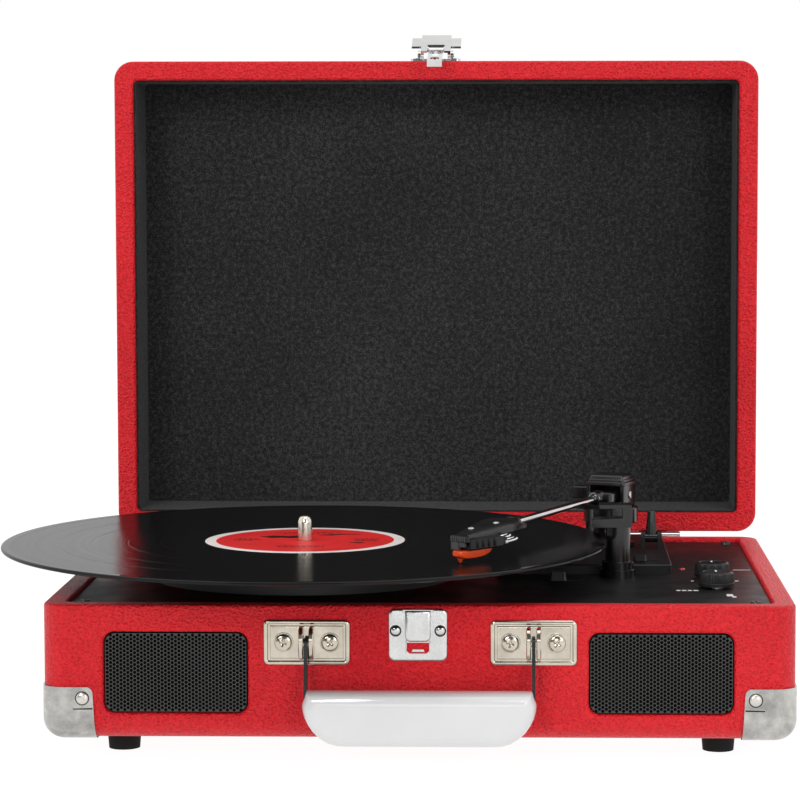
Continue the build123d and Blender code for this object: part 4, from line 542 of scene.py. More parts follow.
def perforated_sheet(bm, matrix, width, height, corner, thickness):
    """A rounded sheet of steel with staggered round holes in hexagonal cells."""
    columns = int(width / HOLE_ACROSS / 2) + 2
    rows = int(height / HOLE_PITCH / 2) + 2
    rise = HOLE_PITCH / 2
    side = HOLE_ACROSS * 2 / 3
    hexagon = [(side, 0), (side / 2, rise), (-side / 2, rise)]
    hexagon += [(-x, -y) for x, y in hexagon]
    rim = []
    for a, b in zip(hexagon, hexagon[1:] + hexagon[:1]):
        rim += [a, ((a[0] + b[0]) / 2, (a[1] + b[1]) / 2)]
    sheet = bmesh.new()
    for column in range(-columns, columns + 1):
        for row in range(-rows, rows + 1):
            cx = column * HOLE_ACROSS
            cy = row * HOLE_PITCH + (rise if column % 2 else 0)
            outer = [sheet.verts.new((cx + p[0], cy + p[1], 0)) for p in rim]
            open_hole = abs(cx) < width / 2 - HOLE_MARGIN and abs(cy) < height / 2 - HOLE_MARGIN
            if open_hole and abs(cx) > width / 2 - corner and abs(cy) > height / 2 - corner:
                dx, dy = abs(cx) - (width / 2 - corner), abs(cy) - (height / 2 - corner)
                open_hole = math.hypot(dx, dy) < corner - HOLE_MARGIN
            if not open_hole:
                sheet.faces.new(outer)
                continue
            inner = []
            for p in rim:
                angle = math.atan2(p[1], p[0])
                inner.append(sheet.verts.new(
                    (cx + HOLE_RADIUS * math.cos(angle), cy + HOLE_RADIUS * math.sin(angle), 0)))
            for i in range(12):
                j = (i + 1) % 12
                sheet.faces.new((outer[i], outer[j], inner[j], inner[i]))
    bmesh.ops.remove_doubles(sheet, verts=sheet.verts, dist=0.01)
    outline = rounded_rect(width, height, corner, 5)
    for a, b in zip(outline, outline[1:] + outline[:1]):
        edge = Vector((b[0] - a[0], b[1] - a[1], 0))
        if edge.length < 1e-6:
            continue
        bmesh.ops.bisect_plane(
            sheet, geom=sheet.verts[:] + sheet.edges[:] + sheet.faces[:], dist=1e-4,
            plane_co=(a[0], a[1], 0), plane_no=(edge.y, -edge.x, 0), clear_outer=True)
    bmesh.ops.recalc_face_normals(sheet, faces=sheet.faces)
    if sum(f.normal.z for f in sheet.faces) < 0:
        bmesh.ops.reverse_faces(sheet, faces=sheet.faces)
    bmesh.ops.solidify(sheet, geom=sheet.faces[:], thickness=thickness)
    bmesh.ops.transform(sheet, matrix=matrix, verts=sheet.verts)
    scratch = bpy.data.meshes.new("scratch")
    sheet.to_mesh(scratch)
    sheet.free()
    bm.from_mesh(scratch)
    bpy.data.meshes.remove(scratch)


for node in ("grille_left", "grille_right"):
    low, high = case_box(node)
    bm = bmesh.new()
    middle = ((low[0] + high[0]) / 2, low[1], (low[2] + high[2]) / 2)
    perforated_sheet(bm, front_frame(*middle), high[0] - low[0] - 1.2, high[2] - low[2] - 1.2, 4.6, 0.7)
    piece("perforated_" + node, bm, grille_black, "case", (node,), 30)

# ---------------- handle brackets and their screws
for end, side_name in ((-1, "left"), (1, "right")):
    low, high = case_box("handle_brackets")
    bracket_x = low[0] + 20.4 if end < 0 else high[0] - 20.4
    bracket_z = (low[2] + high[2]) / 2
    place = front_frame(bracket_x, 0, bracket_z)
    bm = bmesh.new()
    rect_loft(bm, place, 40.8, high[2] - low[2], 2.6, [
        (0, 0), (0, 0.35), (0.25, 0.75), (0.7, 1.05), (1.3, 1.15), (1.75, 1.05), (1.95, 0.8), (2.2, 0.45),
        (3.0, 0.40), (3.2, 0.55), (3.35, 0.75), (3.9, 0.82)], steps=6)
    piece("bracket_plate_" + side_name, bm, nickel, "case", ("handle_brackets",), 40)
    # the loop that holds the pin, bent out of one strip that joins across the middle: here only its two
    # ears
    bm = bmesh.new()
    ear = [(-0.8, 7.9), (-4.4, 7.9), (-6.4, 6.9), (-7.8, 4.9), (-8.3, 2.4), (-8.4, -1.2), (-7.9, -4.0),
           (-6.2, -6.6), (-3.6, -7.8), (-0.8, -7.8)]
    for left, right in ((-3.45, -1.35), (1.35, 3.45)):
        prism(bm, side_frame(bracket_x, 0, bracket_z), ear,
              [(0.35, left), (0, left + 0.35), (0, right - 0.35), (0.35, right)])
    piece("bracket_ears_" + side_name, bm, nickel, "case", (), 30)
    bm = bmesh.new()
    for offset in (-10.95, 10.95):
        head = front_frame(bracket_x + offset, -0.8, bracket_z)
        pan_head(bm, head, 4.15, 2.3, turn=0.25 if offset < 0 else 0.6)
        lathe(bm, head, [(4.7, 0), (4.7, 0.12), (4.5, 0.28), (4.15, 0.3)])
    piece("bracket_screws_" + side_name, bm, nickel, "case", ("bracket_screws",), 30)

# ---------------- keeper plate
low, high = case_box("keeper_plate")
keeper_z = (low[2] + high[2]) / 2
bm = bmesh.new()
rect_loft(bm, front_frame(0, 0, keeper_z), high[0] - low[0], high[2] - low[2], 3.0,
          [(0, 0), (0, 0.5), (0.25, 0.9), (0.8, 1.15), (1.1, 1.2)], steps=6)
piece("keeper_plate_formed", bm, brushed_chrome, "case", ("keeper_plate",), 40)
bm = bmesh.new()
tongue = front_frame(0, -1.1, -9.4)
left_edge = [(-6.0, 7.3), (-6.0, -5.2), (-5.4, -6.7), (-4.0, -7.4)]
shape = left_edge + [(-x, y) for x, y in reversed(left_edge)]
prism(bm, tongue, shape, [(0, 0), (0, 1.3), (0.3, 1.85), (0.9, 2.1), (1.6, 2.15)])
lip = [(-7.3, 7.9), (-7.3, 6.6), (7.3, 6.6), (7.3, 7.9)]
prism(bm, tongue, lip, [(0, 0), (0, 0.9), (0.25, 1.2)])
piece("keeper_tongue", bm, brushed_chrome, "case", (), 40)
bm = bmesh.new()
window = [(-5.4, 2.6), (-5.4, -1.2), (-4.0, -2.6), (4.0, -2.6), (5.4, -1.2), (5.4, 2.6)]
prism(bm, front_frame(0, -1.12, -20.0), window, [(0, 0), (0, 0.12)])
piece("keeper_window", bm, leatherette, "case", (), 40)
bm = bmesh.new()
prism(bm, front_frame(0, -1.2, -20.0), [(-3.2, -1.9), (3.2, -1.9), (2.6, -0.4), (-2.6, -0.4)],
      [(0, 0), (0, 0.5), (0.3, 0.8)])
for x in (-5.55, 5.55):
    prism(bm, front_frame(x, -1.15, -19.6), [(-0.35, -2.6), (0.35, -2.6), (0.35, 3.0), (-0.35, 3.0)],
          [(0, 0), (0, 0.25), (0.15, 0.4)])
piece("keeper_window_lip", bm, chrome, "case", (), 40)

# ---------------- sheets of painted shade behind the grilles, corner guards, rivets
# a near-black sheet just behind each grille, as painted shade in the recess and over the cones behind the
# holes
for node in ("grille_left", "grille_right"):
    low, high = case_box(node)
    bm = bmesh.new()
    rect_loft(bm, front_frame((low[0] + high[0]) / 2, high[1] + 0.12, (low[2] + high[2]) / 2),
              high[0] - low[0], high[2] - low[2], 5.0, [(0, 0), (0, 0.1)])
    piece("shade_sheet_behind_" + node, bm, shade_sheet_black, "case", (), 30)

# Each rivet's head, as (radius, height) from its edge to its middle.
GUARD_DOME = [(3.0, -0.05), (3.0, 0.1), (2.8, 0.45), (2.3, 0.8), (1.5, 1.02), (0, 1.12)]
SIDE_DOME = [(3.0, -0.05), (3.0, 0.1), (2.8, 0.4), (2.3, 0.68), (1.5, 0.82), (0, 0.88)]
KEEPER_DOME = [(2.3, 0), (2.3, 0.2), (2.0, 0.6), (1.2, 0.95), (0, 1.05)]
HINGE_DOME = [(2.4, 0), (2.4, 0.15), (2.0, 0.55), (1.2, 0.85), (0, 0.9)]
SIDES = ((-1, "left"), (1, "right"))
GUARD_RIVET_X = 158.7
GUARD_RIVET_Z = -44.5
GUARD_RIVET_BACK = 19.3
GUARD_THICKNESS = 0.8


def rivet(name, place, dome, material, count, nodes=()):
    bm = bmesh.new()
    lathe(bm, place, dome, count)
    piece(name, bm, material, "case", nodes, 50)


def shadow_ring(bm, place, inner, outer, low, high, count):
    """A dark ring round a rivet's head: painted shadow where the head meets the sheet."""
    lathe(bm, place, [(inner, low), (outer, low), (outer, high), (inner, high), (inner, low)], count)


guard_low, guard_high = case_box("corner_guards")
for x_end, side_name in SIDES:
    for way, face_y, face_name in ((-1, guard_low[1], "front"), (1, guard_high[1], "back")):
        face = frame_at(x_end * GUARD_RIVET_X, face_y, GUARD_RIVET_Z, (-way, 0, 0), (0, 0, 1), (0, way, 0))
        name = f"guard_trim_{side_name}_{face_name}"
        rivet(name, face, GUARD_DOME, satin_nickel, 40, ("case_rivets",))
        bm = bmesh.new()
        # a dark ring round the rivet's head: painted shadow
        shadow_ring(bm, face, 3.02, 3.35, -0.02, 0.05, 40)
        # the sheet is folded over itself, and the fold's joint runs to the guard's inner edge
        fold = [(-4.4, -4.9), (4.9, -4.6), (4.9, -5.3), (-4.4, -5.4)]
        if x_end * way < 0:
            fold = [(-x, y) for x, y in reversed(fold)]
        prism(bm, face, fold, [(0, -0.02), (0, 0.06)])
        piece(name + "_gap", bm, shadow_black, "case", (), 50)
for x_end, side_name in SIDES:
    for y in (GUARD_RIVET_BACK, case_d - GUARD_RIVET_BACK):
        side_x = x_end * (case_w / 2 + GUARD_THICKNESS)
        face = frame_at(side_x, y, GUARD_RIVET_Z, (0, x_end, 0), (0, 0, 1), (x_end, 0, 0))
        rivet(f"guard_side_rivet_{side_name}_{int(y)}", face, SIDE_DOME, satin_nickel, 40)
for x_end, side_name in SIDES:
    face = front_frame(x_end * 10.5, -1.15, -11.8)
    rivet("keeper_rivet_" + side_name, face, KEEPER_DOME, chrome, 36)
    bm = bmesh.new()
    # a dark ring round the rivet's head: painted shadow
    shadow_ring(bm, face, 2.32, 2.75, 0, 0.1, 36)
    piece("keeper_rivet_shadow_" + side_name, bm, shadow_black, "case", (), 50)
for x in (-130, -112, 112, 130):
    face = frame_at(x, case_d + 0.9, -9.5, (-1, 0, 0), (0, 0, 1), (0, 1, 0))
    side_name = "left" if x < 0 else "right"
    rivet(f"hinge_rivet_{side_name}_{abs(x)}", face, HINGE_DOME, chrome, 32)

# ---------------- grip
low, high = case_box("handle_grip")
half, top_z, bottom_z = (high[0] - low[0]) / 2, high[2], low[2]
right_side = [
    (52.8, 0), (53.3, -1.8), (53.9, -3.6), (54.6, -5.2), (54.8, -6.6), (54.6, -9.0), (53.8, -12.2),
    (52.2, -15.6), (49.8, -19.0), (46.6, -22.2), (42.8, -24.6), (38.4, -25.8), (33.0, -26.0)]
outline = [(x, top_z + z) for x, z in reversed(right_side)] + [(-x, top_z + z) for x, z in right_side]
middle_z, half_z = (top_z + bottom_z) / 2, (top_z - bottom_z) / 2
depth_middle, depth_half = -(low[1] + high[1]) / 2, (high[1] - low[1]) / 2
# rounded fuller than a circle from front to back, and drawn in at its front and back faces
GRIP_STEPS = 24
GRIP_INSET = 9.5
GRIP_FULLNESS = 0.75
GRIP_EDGE = 0.55
loops = []
for step in range(GRIP_STEPS + 1):
    angle = math.pi * (step / GRIP_STEPS - 0.5)
    reach = math.copysign(abs(math.sin(angle)) ** GRIP_FULLNESS, math.sin(angle))
    inset = GRIP_INSET * (1 - max(math.cos(angle), 0) ** GRIP_EDGE)
    loops.append([
        (x * (1 - inset / half), middle_z + (z - middle_z) * (1 - inset / half_z),
         depth_middle + depth_half * reach) for x, z in outline])
bm = bmesh.new()
loft(bm, front_frame((low[0] + high[0]) / 2, 0, 0), loops)
piece("grip_moulded", bm, handle_white, "handle", ("handle_grip",), 50)

# ---------------- record and label
HOLE_EDGE = 3.7
LABEL_SINK = 0.15
LABEL_RISE = 0.15
GROOVE_START = 56.0
GROOVE_STEP = 0.04
TRACK_GAPS = (72.0, 88.0, 105.0, 122.0)
GAP_WIDTH = 1.2
RIM_BEAD = 5.4
record_box = case_box("record")
spindle_box = case_box("spindle")
disc_x = (spindle_box[0][0] + spindle_box[1][0]) / 2
disc_y = (spindle_box[0][1] + spindle_box[1][1]) / 2
disc_top, disc_bottom = record_box[1][2], record_box[0][2]
disc_radius = disc_x - record_box[0][0]
label_edge = label_radius / MM
disc_place = top_frame(disc_x, disc_y, 0)
groove_top = disc_top - GROOVE_STEP
upper = [
    (HOLE_EDGE, disc_top - LABEL_SINK), (label_edge + 0.1, disc_top - LABEL_SINK),
    (label_edge + 0.1, disc_top), (GROOVE_START, disc_top), (GROOVE_START + 0.2, groove_top)]
for gap in TRACK_GAPS:
    gap_end = gap + GAP_WIDTH
    upper += [
        (gap, groove_top), (gap + 0.2, groove_top - GROOVE_STEP), (gap_end - 0.2, groove_top - GROOVE_STEP),
        (gap_end, groove_top)]
upper += [
    (disc_radius - RIM_BEAD, groove_top), (disc_radius - RIM_BEAD + 0.2, disc_top),
    (disc_radius - 0.9, disc_top - 0.02), (disc_radius - 0.25, disc_top - 0.35),
    (disc_radius, disc_top - 0.8)]
lower = [(r, disc_top + disc_bottom - z) for r, z in reversed(upper)]
bm = bmesh.new()
lathe(bm, disc_place, upper + lower + upper[:1], 256)
piece("record_grooved", bm, vinyl, "turntable", ("record",), 5)

# red paper with a pressed ring near the middle and a white border: 1 marks the border's bands
LABEL_OUTLINE = [
    (HOLE_EDGE, 0), (HOLE_EDGE, 0.14), (15.5, LABEL_RISE), (15.9, 0.11), (16.9, 0.11), (17.3, LABEL_RISE),
    (44.4, LABEL_RISE), (44.5, LABEL_RISE), (49.7, LABEL_RISE), (49.9, 0.1), (49.9, 0), (HOLE_EDGE, 0)]
LABEL_PAPERS = [0, 0, 0, 0, 0, 0, 0, 1, 1, 1, 0]
for name, z, way in (("top", disc_top - LABEL_SINK, 1), ("bottom", disc_bottom + LABEL_SINK, -1)):
    place = frame_at(disc_x, disc_y, z, (1, 0, 0), (0, way, 0), (0, 0, way))
    bm = bmesh.new()
    lathe(bm, place, LABEL_OUTLINE, 160, index=LABEL_PAPERS)
    papers = [label_red, label_white]
    piece("label_paper_" + name, bm, papers, "turntable", ("record_labels",), 30)

# plain shapes and rows of strokes in place of a picture and words: (x, y, length) for each row
label_shapes = [
    [(-24, 13), (-17, 16.5), (-9, 15), (-5, 17), (-3.6, 10), (-8, 7), (-13, 9.5), (-18, 7.5)],
    [(5, 19), (12, 18), (19, 22), (27, 22.5), (26, 24.5), (17, 24.6), (9, 21.5)],
    [(22, -9), (27, -12), (31, -11), (28, -8)]]
rows = [
    (-9, 29, 16), (9, 29, 12), (0, 24.5, 26), (-30, 5, 9), (-30, 1.5, 12), (-30, -2, 7), (30, 5, 12),
    (30, 1.5, 8), (30, -2, 10), (0, -23, 24), (-5, -27, 14), (8, -27, 8)]
STROKE_HEIGHT = 1.5
STROKE_GAP = 0.7
INK = [(0, -0.02), (0, 0.03)]
label_place = top_frame(disc_x, disc_y, disc_top)
bm = bmesh.new()
for x, y, length in rows:
    start = x - length / 2
    while start < x + length / 2 - 0.8:
        width = random.Random(int(start * 10 + y * 100)).uniform(1.0, 3.2)
        rect_loft(bm, label_place, width, STROKE_HEIGHT, 0.2, INK, x=start + width / 2, y=y, steps=2)
        start += width + STROKE_GAP
for shape in label_shapes:
    prism(bm, label_place, shape, INK)
piece("label_print", bm, label_ink, "turntable", (), 30)

SPINDLE_NECK = 3.25
SPINDLE_RADIUS = 3.55
SPINDLE_TOP = 31.5
spindle_base = spindle_box[0][2]
bm = bmesh.new()
lathe(bm, disc_place, [
    (0, spindle_base), (SPINDLE_NECK, spindle_base), (SPINDLE_NECK, disc_top + 0.15),
    (SPINDLE_RADIUS, disc_top + 0.2), (SPINDLE_RADIUS, SPINDLE_TOP - 3.9), (3.45, SPINDLE_TOP - 3.1),
    (3.2, SPINDLE_TOP - 1.9), (2.7, SPINDLE_TOP - 0.9), (1.8, SPINDLE_TOP - 0.2), (0, SPINDLE_TOP)], 40)
piece("spindle_turned", bm, spindle_steel, "turntable", ("spindle",), 40)

# ---------------- tonearm
ARM_HEIGHT = 31.0
ARM_LENGTH = 203.5
TUBE_RADIUS = 1.95
OFFSET_ANGLE = math.radians(20)
UP = (0, 0, 1)
lift_axis = next(j for j in frame["joints"] if j["name"] == "tonearm_lift")["axis"]
arm_dir = Vector((-lift_axis[1], lift_axis[0], 0)).normalized()
arm_right = Vector((-arm_dir.y, arm_dir.x, 0))
pivot_low, pivot_high = case_box("pivot_base")
pivot = Vector(((pivot_low[0] + pivot_high[0]) / 2, (pivot_low[1] + pivot_high[1]) / 2, 0))


def arm_spot(s, y, z):
    """A frame along the arm: s from the pivot, y to the arm's outer side and z above the rim."""
    spot = pivot + arm_dir * s + arm_right * y
    return frame_at(spot.x, spot.y, z, arm_dir, arm_right, UP)


def mirrored(half_loop):
    """A closed loop from its outer half, given upwards."""
    return half_loop + [(-y, z) for y, z in reversed(half_loop)]


arm_frame = arm_spot(0, 0, 0)
arm_along = frame_at(pivot.x, pivot.y, ARM_HEIGHT, arm_right, UP, arm_dir)
pivot_upright = frame_at(pivot.x, pivot.y, 0, (1, 0, 0), (0, 1, 0), UP)
turned = Matrix.Rotation(-OFFSET_ANGLE, 3, "Z")
needle = pivot + arm_dir * ARM_LENGTH
shell_frame = frame_at(needle.x, needle.y, 0, turned @ arm_dir, turned @ arm_right, UP)

# (along, half width below, half width above, lowest z, shoulder z, top z, degrees turned)
cover_sections = [
    (138, 3.4, 1.8, 28.4, 32.4, 33.8, 0), (142, 4.2, 2.4, 28.6, 32.6, 34.0, 0),
    (150, 7.2, 4.6, 29.2, 32.9, 34.6, 0), (157, 9.2, 6.4, 29.4, 33.0, 34.9, 0),
    (163, 9.0, 6.2, 29.4, 33.0, 34.8, 0), (176, 7.6, 5.0, 29.4, 32.4, 34.2, 0),
    (190, 5.8, 3.9, 29.6, 32.0, 33.5, 6), (198, 4.6, 3.4, 29.8, 31.6, 32.9, 14),
    (202, 4.2, 3.2, 30.0, 31.4, 32.6, 20)]
loops = []
for s, wide, narrow, z0, z1, z2, turn in cover_sections:
    cosine, sine = math.cos(math.radians(turn)), math.sin(math.radians(turn))
    section = mirrored([
        (wide * 0.94, z0), (wide, z0 + 0.5), (wide, z1), (wide * 0.97, z1 + 0.35), (narrow + 0.4, z2 - 0.2),
        (narrow - 0.3, z2)])
    loops.append([(s + y * sine, y * cosine, z) for y, z in section])
bm = bmesh.new()
loft(bm, arm_frame, loops)
# the sleeve round the tube, the channel under the tube behind it, and the finger lip
lathe(bm, arm_along, [(TUBE_RADIUS, 135), (2.9, 135), (3.4, 135.5), (3.5, 138), (3.5, 141), (2.0, 143)], 32)
rect_loft(bm, arm_frame, 15.0, 6.2, 1.0, [(0.5, 27.4), (0, 27.9), (0, 29.6), (0.4, 30.0)], x=134.5, steps=3)
lip_levels = [(0.4, 29.2), (0, 29.6), (0, 31.9), (0.25, 32.3), (0.7, 32.4)]
rect_loft(bm, shell_frame, 3.2, 10.6, 1.0, lip_levels)
piece("headshell_cover", bm, shell_black, "tonearm", ("headshell",), 28)

LIP_RIBS = 7
RIB_PITCH = 1.4
rib_levels = [(0, 29.7), (0, 31.8), (0.1, 31.9)]
bm = bmesh.new()
for i in range(LIP_RIBS):
    y = (i - (LIP_RIBS - 1) / 2) * RIB_PITCH
    rect_loft(bm, shell_frame, 0.35, 0.9, 0.12, rib_levels, x=1.7, y=y, steps=2)
rect_loft(bm, shell_frame, 2.6, 4.8, 0.6, [(0.3, 25.4), (0, 25.8), (0, 29.4)], x=0.3, y=-2.6, steps=3)
rect_loft(bm, shell_frame, 2.0, 3.6, 0.5, [(0, 27.2), (0, 29.4)], x=0.3, y=1.6, steps=3)
piece("headshell_lip", bm, lip_grey, "tonearm", (), 28)
bm = bmesh.new()
for s, y, z in ((168, 3.4, 34.35), (186, -2.0, 33.55)):
    pan_head(bm, arm_spot(s, y, z), 1.5, 0.8, count=32)
piece("headshell_screws", bm, steel, "tonearm", (), 30)

CARTRIDGE_HALF = 5.5
bm = bmesh.new()
body_levels = [(1.2, 25.3), (0.4, 25.5), (0, 26.1), (0, 30.4)]
rect_loft(bm, shell_frame, 23.0, 2 * CARTRIDGE_HALF, 1.0, body_levels, x=-13.0, steps=4)
ridge_levels = [(0.1, 26.4), (0, 26.6), (0, 30.0)]
for x in (-6, -10, -14, -18):
    for y in (-CARTRIDGE_HALF - 0.05, CARTRIDGE_HALF + 0.05):
        rect_loft(bm, shell_frame, 1.6, 0.5, 0.15, ridge_levels, x=x, y=y, steps=2)
rect_loft(bm, shell_frame, 4.0, 9.0, 0.8, [(0.3, 26.4), (0, 26.7), (0, 29.6)], x=-26.2, steps=3)
piece("cartridge_body", bm, shell_black, "tonearm", ("cartridge",), 30)

# four clips on the cartridge's pins, and the short wires that arch away from them
CLIP_START = 4.2
CLIP_PITCH = 2.2
CLIP_HEIGHT = 27.2
CLIP_STEP = 0.55
WIRE_LENGTH = 7.5
for i, material in enumerate((print_white, chrome, print_white, chrome)):
    side, height = CLIP_START - i * CLIP_PITCH, CLIP_HEIGHT + i * CLIP_STEP
    wire = []
    for t in range(9):
        f = t / 8
        arch = math.sin(f * math.pi)
        spot = (-27.5 - WIRE_LENGTH * f, side + 2.4 * arch, height + 1.2 * f + 0.5 * arch)
        wire.append(shell_frame @ Vector(spot))
    bm = bmesh.new()
    tube(bm, wire, 0.42, 10)
    tube(bm, [shell_frame @ Vector((x, side, height)) for x in (-26.6, -28.2)], 0.75, 10)
    piece(f"cartridge_clip_{i + 1}", bm, material, "tonearm", (), 40)

# (forwards from the needle, half width, lowest z, highest z)
stylus_sections = [
    (3.2, 2.0, 23.0, 24.8), (2.4, 2.7, 22.3, 25.2), (0.5, 3.0, 21.6, 25.3), (-3, 3.1, 21.2, 25.3),
    (-9, 3.1, 21.2, 25.3), (-14, 3.0, 21.6, 25.3), (-18, 2.7, 22.8, 25.3), (-20, 2.2, 24.2, 25.2)]
loops = []
for a, wide, z0, z1 in stylus_sections:
    section = mirrored([
        (wide * 0.55, z0), (wide * 0.9, z0 + 0.35), (wide, z0 + 1.0), (wide, z1 - 0.5), (wide * 0.85, z1)])
    loops.append([(a, y, z) for y, z in section])
bm = bmesh.new()
loft(bm, shell_frame, loops)
# the point tapers down to the groove: (back, front, half width, z at the back, z at the front)
point_sections = [
    (-1.6, 1.4, 0.9, 21.5, 21.7), (-0.7, 0.8, 0.5, 20.3, 20.4), (-0.2, 0.2, 0.15, 19.45, 19.45)]
loft(bm, shell_frame, [
    [(back, -half, z0), (front, -half, z1), (front, half, z1), (back, half, z0)]
    for back, front, half, z0, z1 in point_sections])
piece("stylus_assembly", bm, stylus_red, "tonearm", ("stylus",), 34)

# the holder's collar at the tube, and its cross pin
bm = bmesh.new()
rect_loft(bm, arm_frame, 27.5, 14.6, 2.4, [(0.6, 28.3), (0, 28.9), (0, 33.0), (0.7, 33.7)], x=6.0)
collar = [(4.0, 18.5), (4.0, 20), (3.2, 21.5), (3.0, 25.5), (2.6, 26.2)]
lathe(bm, arm_along, [(TUBE_RADIUS, 18)] + collar + [(TUBE_RADIUS, 26.4)], 32)
cross_pin = frame_at(pivot.x, pivot.y, ARM_HEIGHT, UP, arm_dir, arm_right)
lathe(bm, cross_pin, [(0, -10.5), (1.5, -10.5), (1.5, 10.5), (0, 10.5)], 24)
piece("arm_holder_moulded", bm, arm_black, "tonearm", ("arm_holder",), 34)
bm = bmesh.new()
ring = [(2.95, 24.2), (3.15, 24.3), (3.2, 24.8), (3.15, 25.3), (2.95, 25.4), (2.95, 24.2)]
lathe(bm, arm_along, ring, 32)
piece("arm_holder_ring", bm, chrome, "tonearm", (), 34)

# the housing turns on the column: a floor, two cheeks, a back, the spring's box and the pivot under it
HOUSING_BASE = 24.9
HOUSING_SPLIT = 36.5
cheek_levels = [(0, 26.9), (0, HOUSING_SPLIT)]
bm = bmesh.new()
floor_levels = [(0.5, HOUSING_BASE), (0, HOUSING_BASE + 0.5), (0, 27.1)]
rect_loft(bm, arm_frame, 19.0, 21.4, 1.8, floor_levels)
for y in (-9.5, 9.5):
    rect_loft(bm, arm_frame, 18.4, 2.4, 0.7, cheek_levels, y=y, steps=3)
rect_loft(bm, arm_frame, 2.2, 17.0, 0.3, cheek_levels, x=-8.6, steps=2)
spring_levels = [(0.4, 28.4), (0, 28.8), (0, 34.2), (0.5, 34.8)]
rect_loft(bm, arm_frame, 9.0, 10.6, 1.2, spring_levels, y=-15.8, steps=3)
lathe(bm, pivot_upright, [(0, -4.4), (3.0, -4.4), (3.0, 25.0), (0, 25.0)], 24)
piece("pivot_housing", bm, arm_black, "yoke", ("tonearm_yoke",), 30)
bm = bmesh.new()
for way in (-1, 1):
    spot = pivot + arm_right * (10.75 * way)
    cheek = frame_at(spot.x, spot.y, ARM_HEIGHT, arm_dir * way, UP, arm_right * way)
    pan_head(bm, cheek, 2.0, 0.8, count=32)
piece("pivot_screws", bm, steel, "yoke", (), 30)
bm = bmesh.new()
rect_loft(bm, arm_frame, 20.0, 22.4, 1.8, [(0.3, 36.4), (0, 36.7), (0, 38.0), (0.5, 38.4)])
rect_loft(bm, arm_frame, 18.2, 20.6, 1.6, [(0, 38.3), (0, 39.3), (0.3, 39.7)])
rect_loft(bm, arm_frame, 16.8, 19.2, 1.5, [(0, 39.6), (0.2, 41.0), (0.9, 41.7)])
piece("pivot_cap", bm, cap_black, "yoke", ("tonearm_cap",), 30)
COLUMN_BORE = 3.1
COLUMN_FOOT = -6.4
COLUMN_TOP = 24.6
bm = bmesh.new()
lathe(bm, pivot_upright, [
    (COLUMN_BORE, COLUMN_FOOT), (6.7, COLUMN_FOOT), (6.7, 3.0), (13.0, 3.0), (13.0, 4.6), (12.4, 5.2),
    (10.4, 5.6), (10.4, 15.6), (11.0, 16.2), (14.2, 16.4), (14.5, 16.8), (14.5, 24.0), (14.1, 24.5),
    (12.0, COLUMN_TOP), (COLUMN_BORE, COLUMN_TOP), (COLUMN_BORE, COLUMN_FOOT)], 64)
piece("pivot_column", bm, arm_black, "case", ("pivot_base",), 34)

# ---------------- knobs and the deck's printed ticks
KNOB_HEIGHT = 6.8
KNOB_RIBS = 72
STEM_RADIUS = 2.5
for node in ("volume_knob", "tone_knob"):
    low, high = case_box(node)
    radius, top = (high[0] - low[0]) / 2, high[2]
    place = top_frame((low[0] + high[0]) / 2, (low[1] + high[1]) / 2, 0)
    skirt = top - KNOB_HEIGHT
    bm = bmesh.new()
    lathe(bm, place, [
        (0, low[2]), (STEM_RADIUS, low[2]), (STEM_RADIUS, skirt), (radius, skirt), (radius, skirt + 1.4),
        (radius - 0.2, skirt + 1.6)], 96)
    # fine ribs that die away towards a shallow dish on top: (inset, rib depth, z)
    rings = []
    levels = [
        (0.2, 0.22, skirt + 1.6), (0.3, 0.22, top - 1.2), (0.55, 0.1, top - 0.6), (1.2, 0, top - 0.1),
        (1.7, 0, top)]
    for inset, depth, z in levels:
        ring = []
        for i in range(2 * KNOB_RIBS):
            angle = math.pi * i / KNOB_RIBS
            reach = radius - inset - depth * (i % 2)
            ring.append((reach * math.cos(angle), reach * math.sin(angle), z))
        rings.append(ring)
    rings.append([(x * 0.9, y * 0.9, z) for x, y, z in rings[-1]])
    rings.append([(x * 0.97, y * 0.97, z - 0.35) for x, y, z in rings[-1]])
    loft(bm, place, rings)
    body = node.split("_")[0]
    piece(node + "_moulded", bm, control_black, body, (node,), 24)
    bm = bmesh.new()
    rect_loft(bm, place, 0.9, 5.0, 0.3, [(0, top - 0.4), (0, top - 0.25)], y=4.2, steps=2)
    piece(node + "_pointer", bm, print_white, body, (), 24)

# (x, y, width, depth) of the plain ticks beside the knobs
deck_top = case_box("deck_panel")[1][2]
ticks = [
    (161.5, 138.8, 9.0, 1.2), (156.2, 98.7, 1.8, 2.0), (134.0, 98.3, 1.4, 2.0), (125.4, 65.1, 2.0, 3.0),
    (128.2, 65.1, 2.2, 3.0), (131.0, 65.1, 2.0, 3.0), (134.0, 65.1, 2.4, 3.0), (149.6, 49.5, 3.2, 7.0),
    (151.4, 44.0, 2.0, 4.0)]
bm = bmesh.new()
for x, y, width, depth in ticks:
    rect_loft(bm, top_frame(x, y, deck_top), width, depth, 0.2, [(0, -0.02), (0, 0.04)], steps=2)
piece("deck_ticks", bm, print_white, "case", (), 24)

# ---------------- cueing lever
low, high = case_box("lift_lever")
lever_x, lever_y, lever_top = (low[0] + high[0]) / 2, (low[1] + high[1]) / 2, high[2]
hub_z = low[2] + 3.1
octagon = [(-1, -0.6), (-0.6, -1), (0.6, -1), (1, -0.6)]
octagon += [(-x, -y) for x, y in octagon]
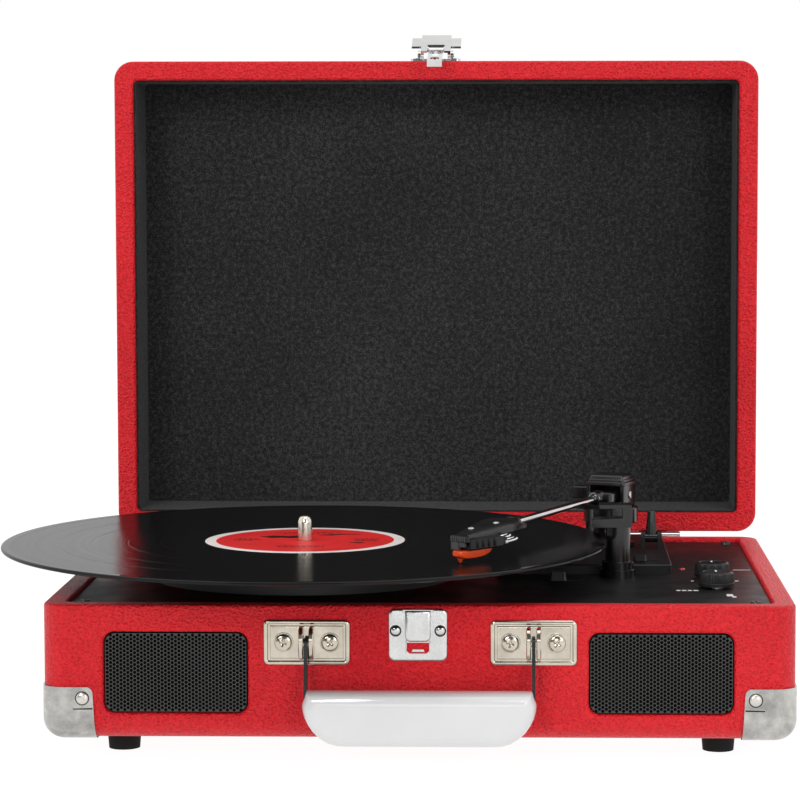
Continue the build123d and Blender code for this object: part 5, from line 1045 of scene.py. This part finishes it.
# the blade tapers upwards: (half width, half depth, z)
blade = [
    (3.3, 1.9, hub_z - 1.5), (3.1, 1.8, hub_z + 2.5), (2.6, 1.6, hub_z + 7), (2.1, 1.4, lever_top - 1.6),
    (1.9, 1.3, lever_top - 0.4), (1.4, 0.9, lever_top)]
bm = bmesh.new()
loft(bm, top_frame(lever_x, lever_y, 0), [
    [(x * half, y * depth, z) for x, y in octagon] for half, depth, z in blade])
hub = [(0, -5.3), (2.4, -5.3), (3.1, -4.9), (3.1, -3.4), (2.4, -3.2)]
hub += [(r, -z) for r, z in reversed(hub)]
lathe(bm, frame_at(lever_x, lever_y, hub_z, (0, 1, 0), UP, (1, 0, 0)), hub, 40)
piece("cue_lever_blade", bm, arm_black, "cue_lever", ("lift_lever",), 34)


# ---------------- floor, light and camera
def make_stage():
    bpy.ops.mesh.primitive_plane_add(size=12, location=(0, 1, 0))
    floor = bpy.context.object
    floor.name = "floor"
    floor.data.materials.append(floor_material())


def area_light(name, place, target, size, power):
    light = bpy.data.lights.new(name, "AREA")
    light.energy = power
    light.shape = "RECTANGLE"
    light.size, light.size_y = size
    lamp = bpy.data.objects.new(name, light)
    bpy.context.collection.objects.link(lamp)
    lamp.location = place
    lamp.rotation_euler = (Vector(target) - Vector(place)).to_track_quat("-Z", "Y").to_euler()


def dark_card(name, place, size, turn):
    """A plain dark card that gives bright metal something to mirror."""
    bpy.ops.mesh.primitive_plane_add(size=1, location=place, rotation=turn)
    card = bpy.context.object
    card.name = name
    card.scale = (size[0], size[1], 1)
    card.data.materials.append(plastic_material(name + "_cloth", (0.10, 0.10, 0.10), 0.9, grain=40))


def make_lights():
    area_light("key_softbox", (-0.9, -2.1, 1.2), (0, 0, 0.1), (0.7, 0.8), 18)
    area_light("fill_softbox", (1.2, -2.1, 0.8), (0, 0, 0.1), (0.6, 0.8), 7)
    area_light("low_softbox", (0.2, -2.4, 0.25), (0, 0, 0.06), (1.6, 0.25), 3.0)
    area_light("top_softbox", (0.1, -0.5, 1.6), (0, 0, 0.1), (0.9, 0.5), 3)
    dark_card("camera_side_card", (-1.15, -2.7, 1.3), (4.3, 4.0), (math.pi / 2, 0, 0))
    world = bpy.data.worlds.new("studio")
    world.use_nodes = True
    background = world.node_tree.nodes["Background"]
    background.inputs["Color"].default_value = (1, 1, 1, 1)
    background.inputs["Strength"].default_value = 1.0
    bpy.context.scene.world = world
    bpy.context.scene.view_settings.view_transform = "Standard"


# The lens and the camera's place, in the case's own directions.
CAMERA_AT = (53.5, -1373.1, 207.5)
CAMERA_DOWN = 4.603
CAMERA_LEFT = 1.404
CAMERA_ROLL = -0.05
CAMERA_LENS = 132.8
CAMERA_SHIFT = -0.075


def make_camera():
    data = bpy.data.cameras.new("studio_camera")
    data.sensor_width = 36
    data.lens = CAMERA_LENS
    data.shift_x = CAMERA_SHIFT
    data.clip_start = 0.05
    camera = bpy.data.objects.new("studio_camera", data)
    bpy.context.collection.objects.link(camera)
    turn = (
        Matrix.Rotation(math.radians(CAMERA_LEFT), 4, "Z")
        @ Matrix.Rotation(math.radians(90 - CAMERA_DOWN), 4, "X")
        @ Matrix.Rotation(math.radians(CAMERA_ROLL), 4, "Z")
    )
    camera.matrix_world = Matrix.Translation(at(*CAMERA_AT)) @ turn
    bpy.context.scene.camera = camera


make_stage()
make_lights()
make_camera()
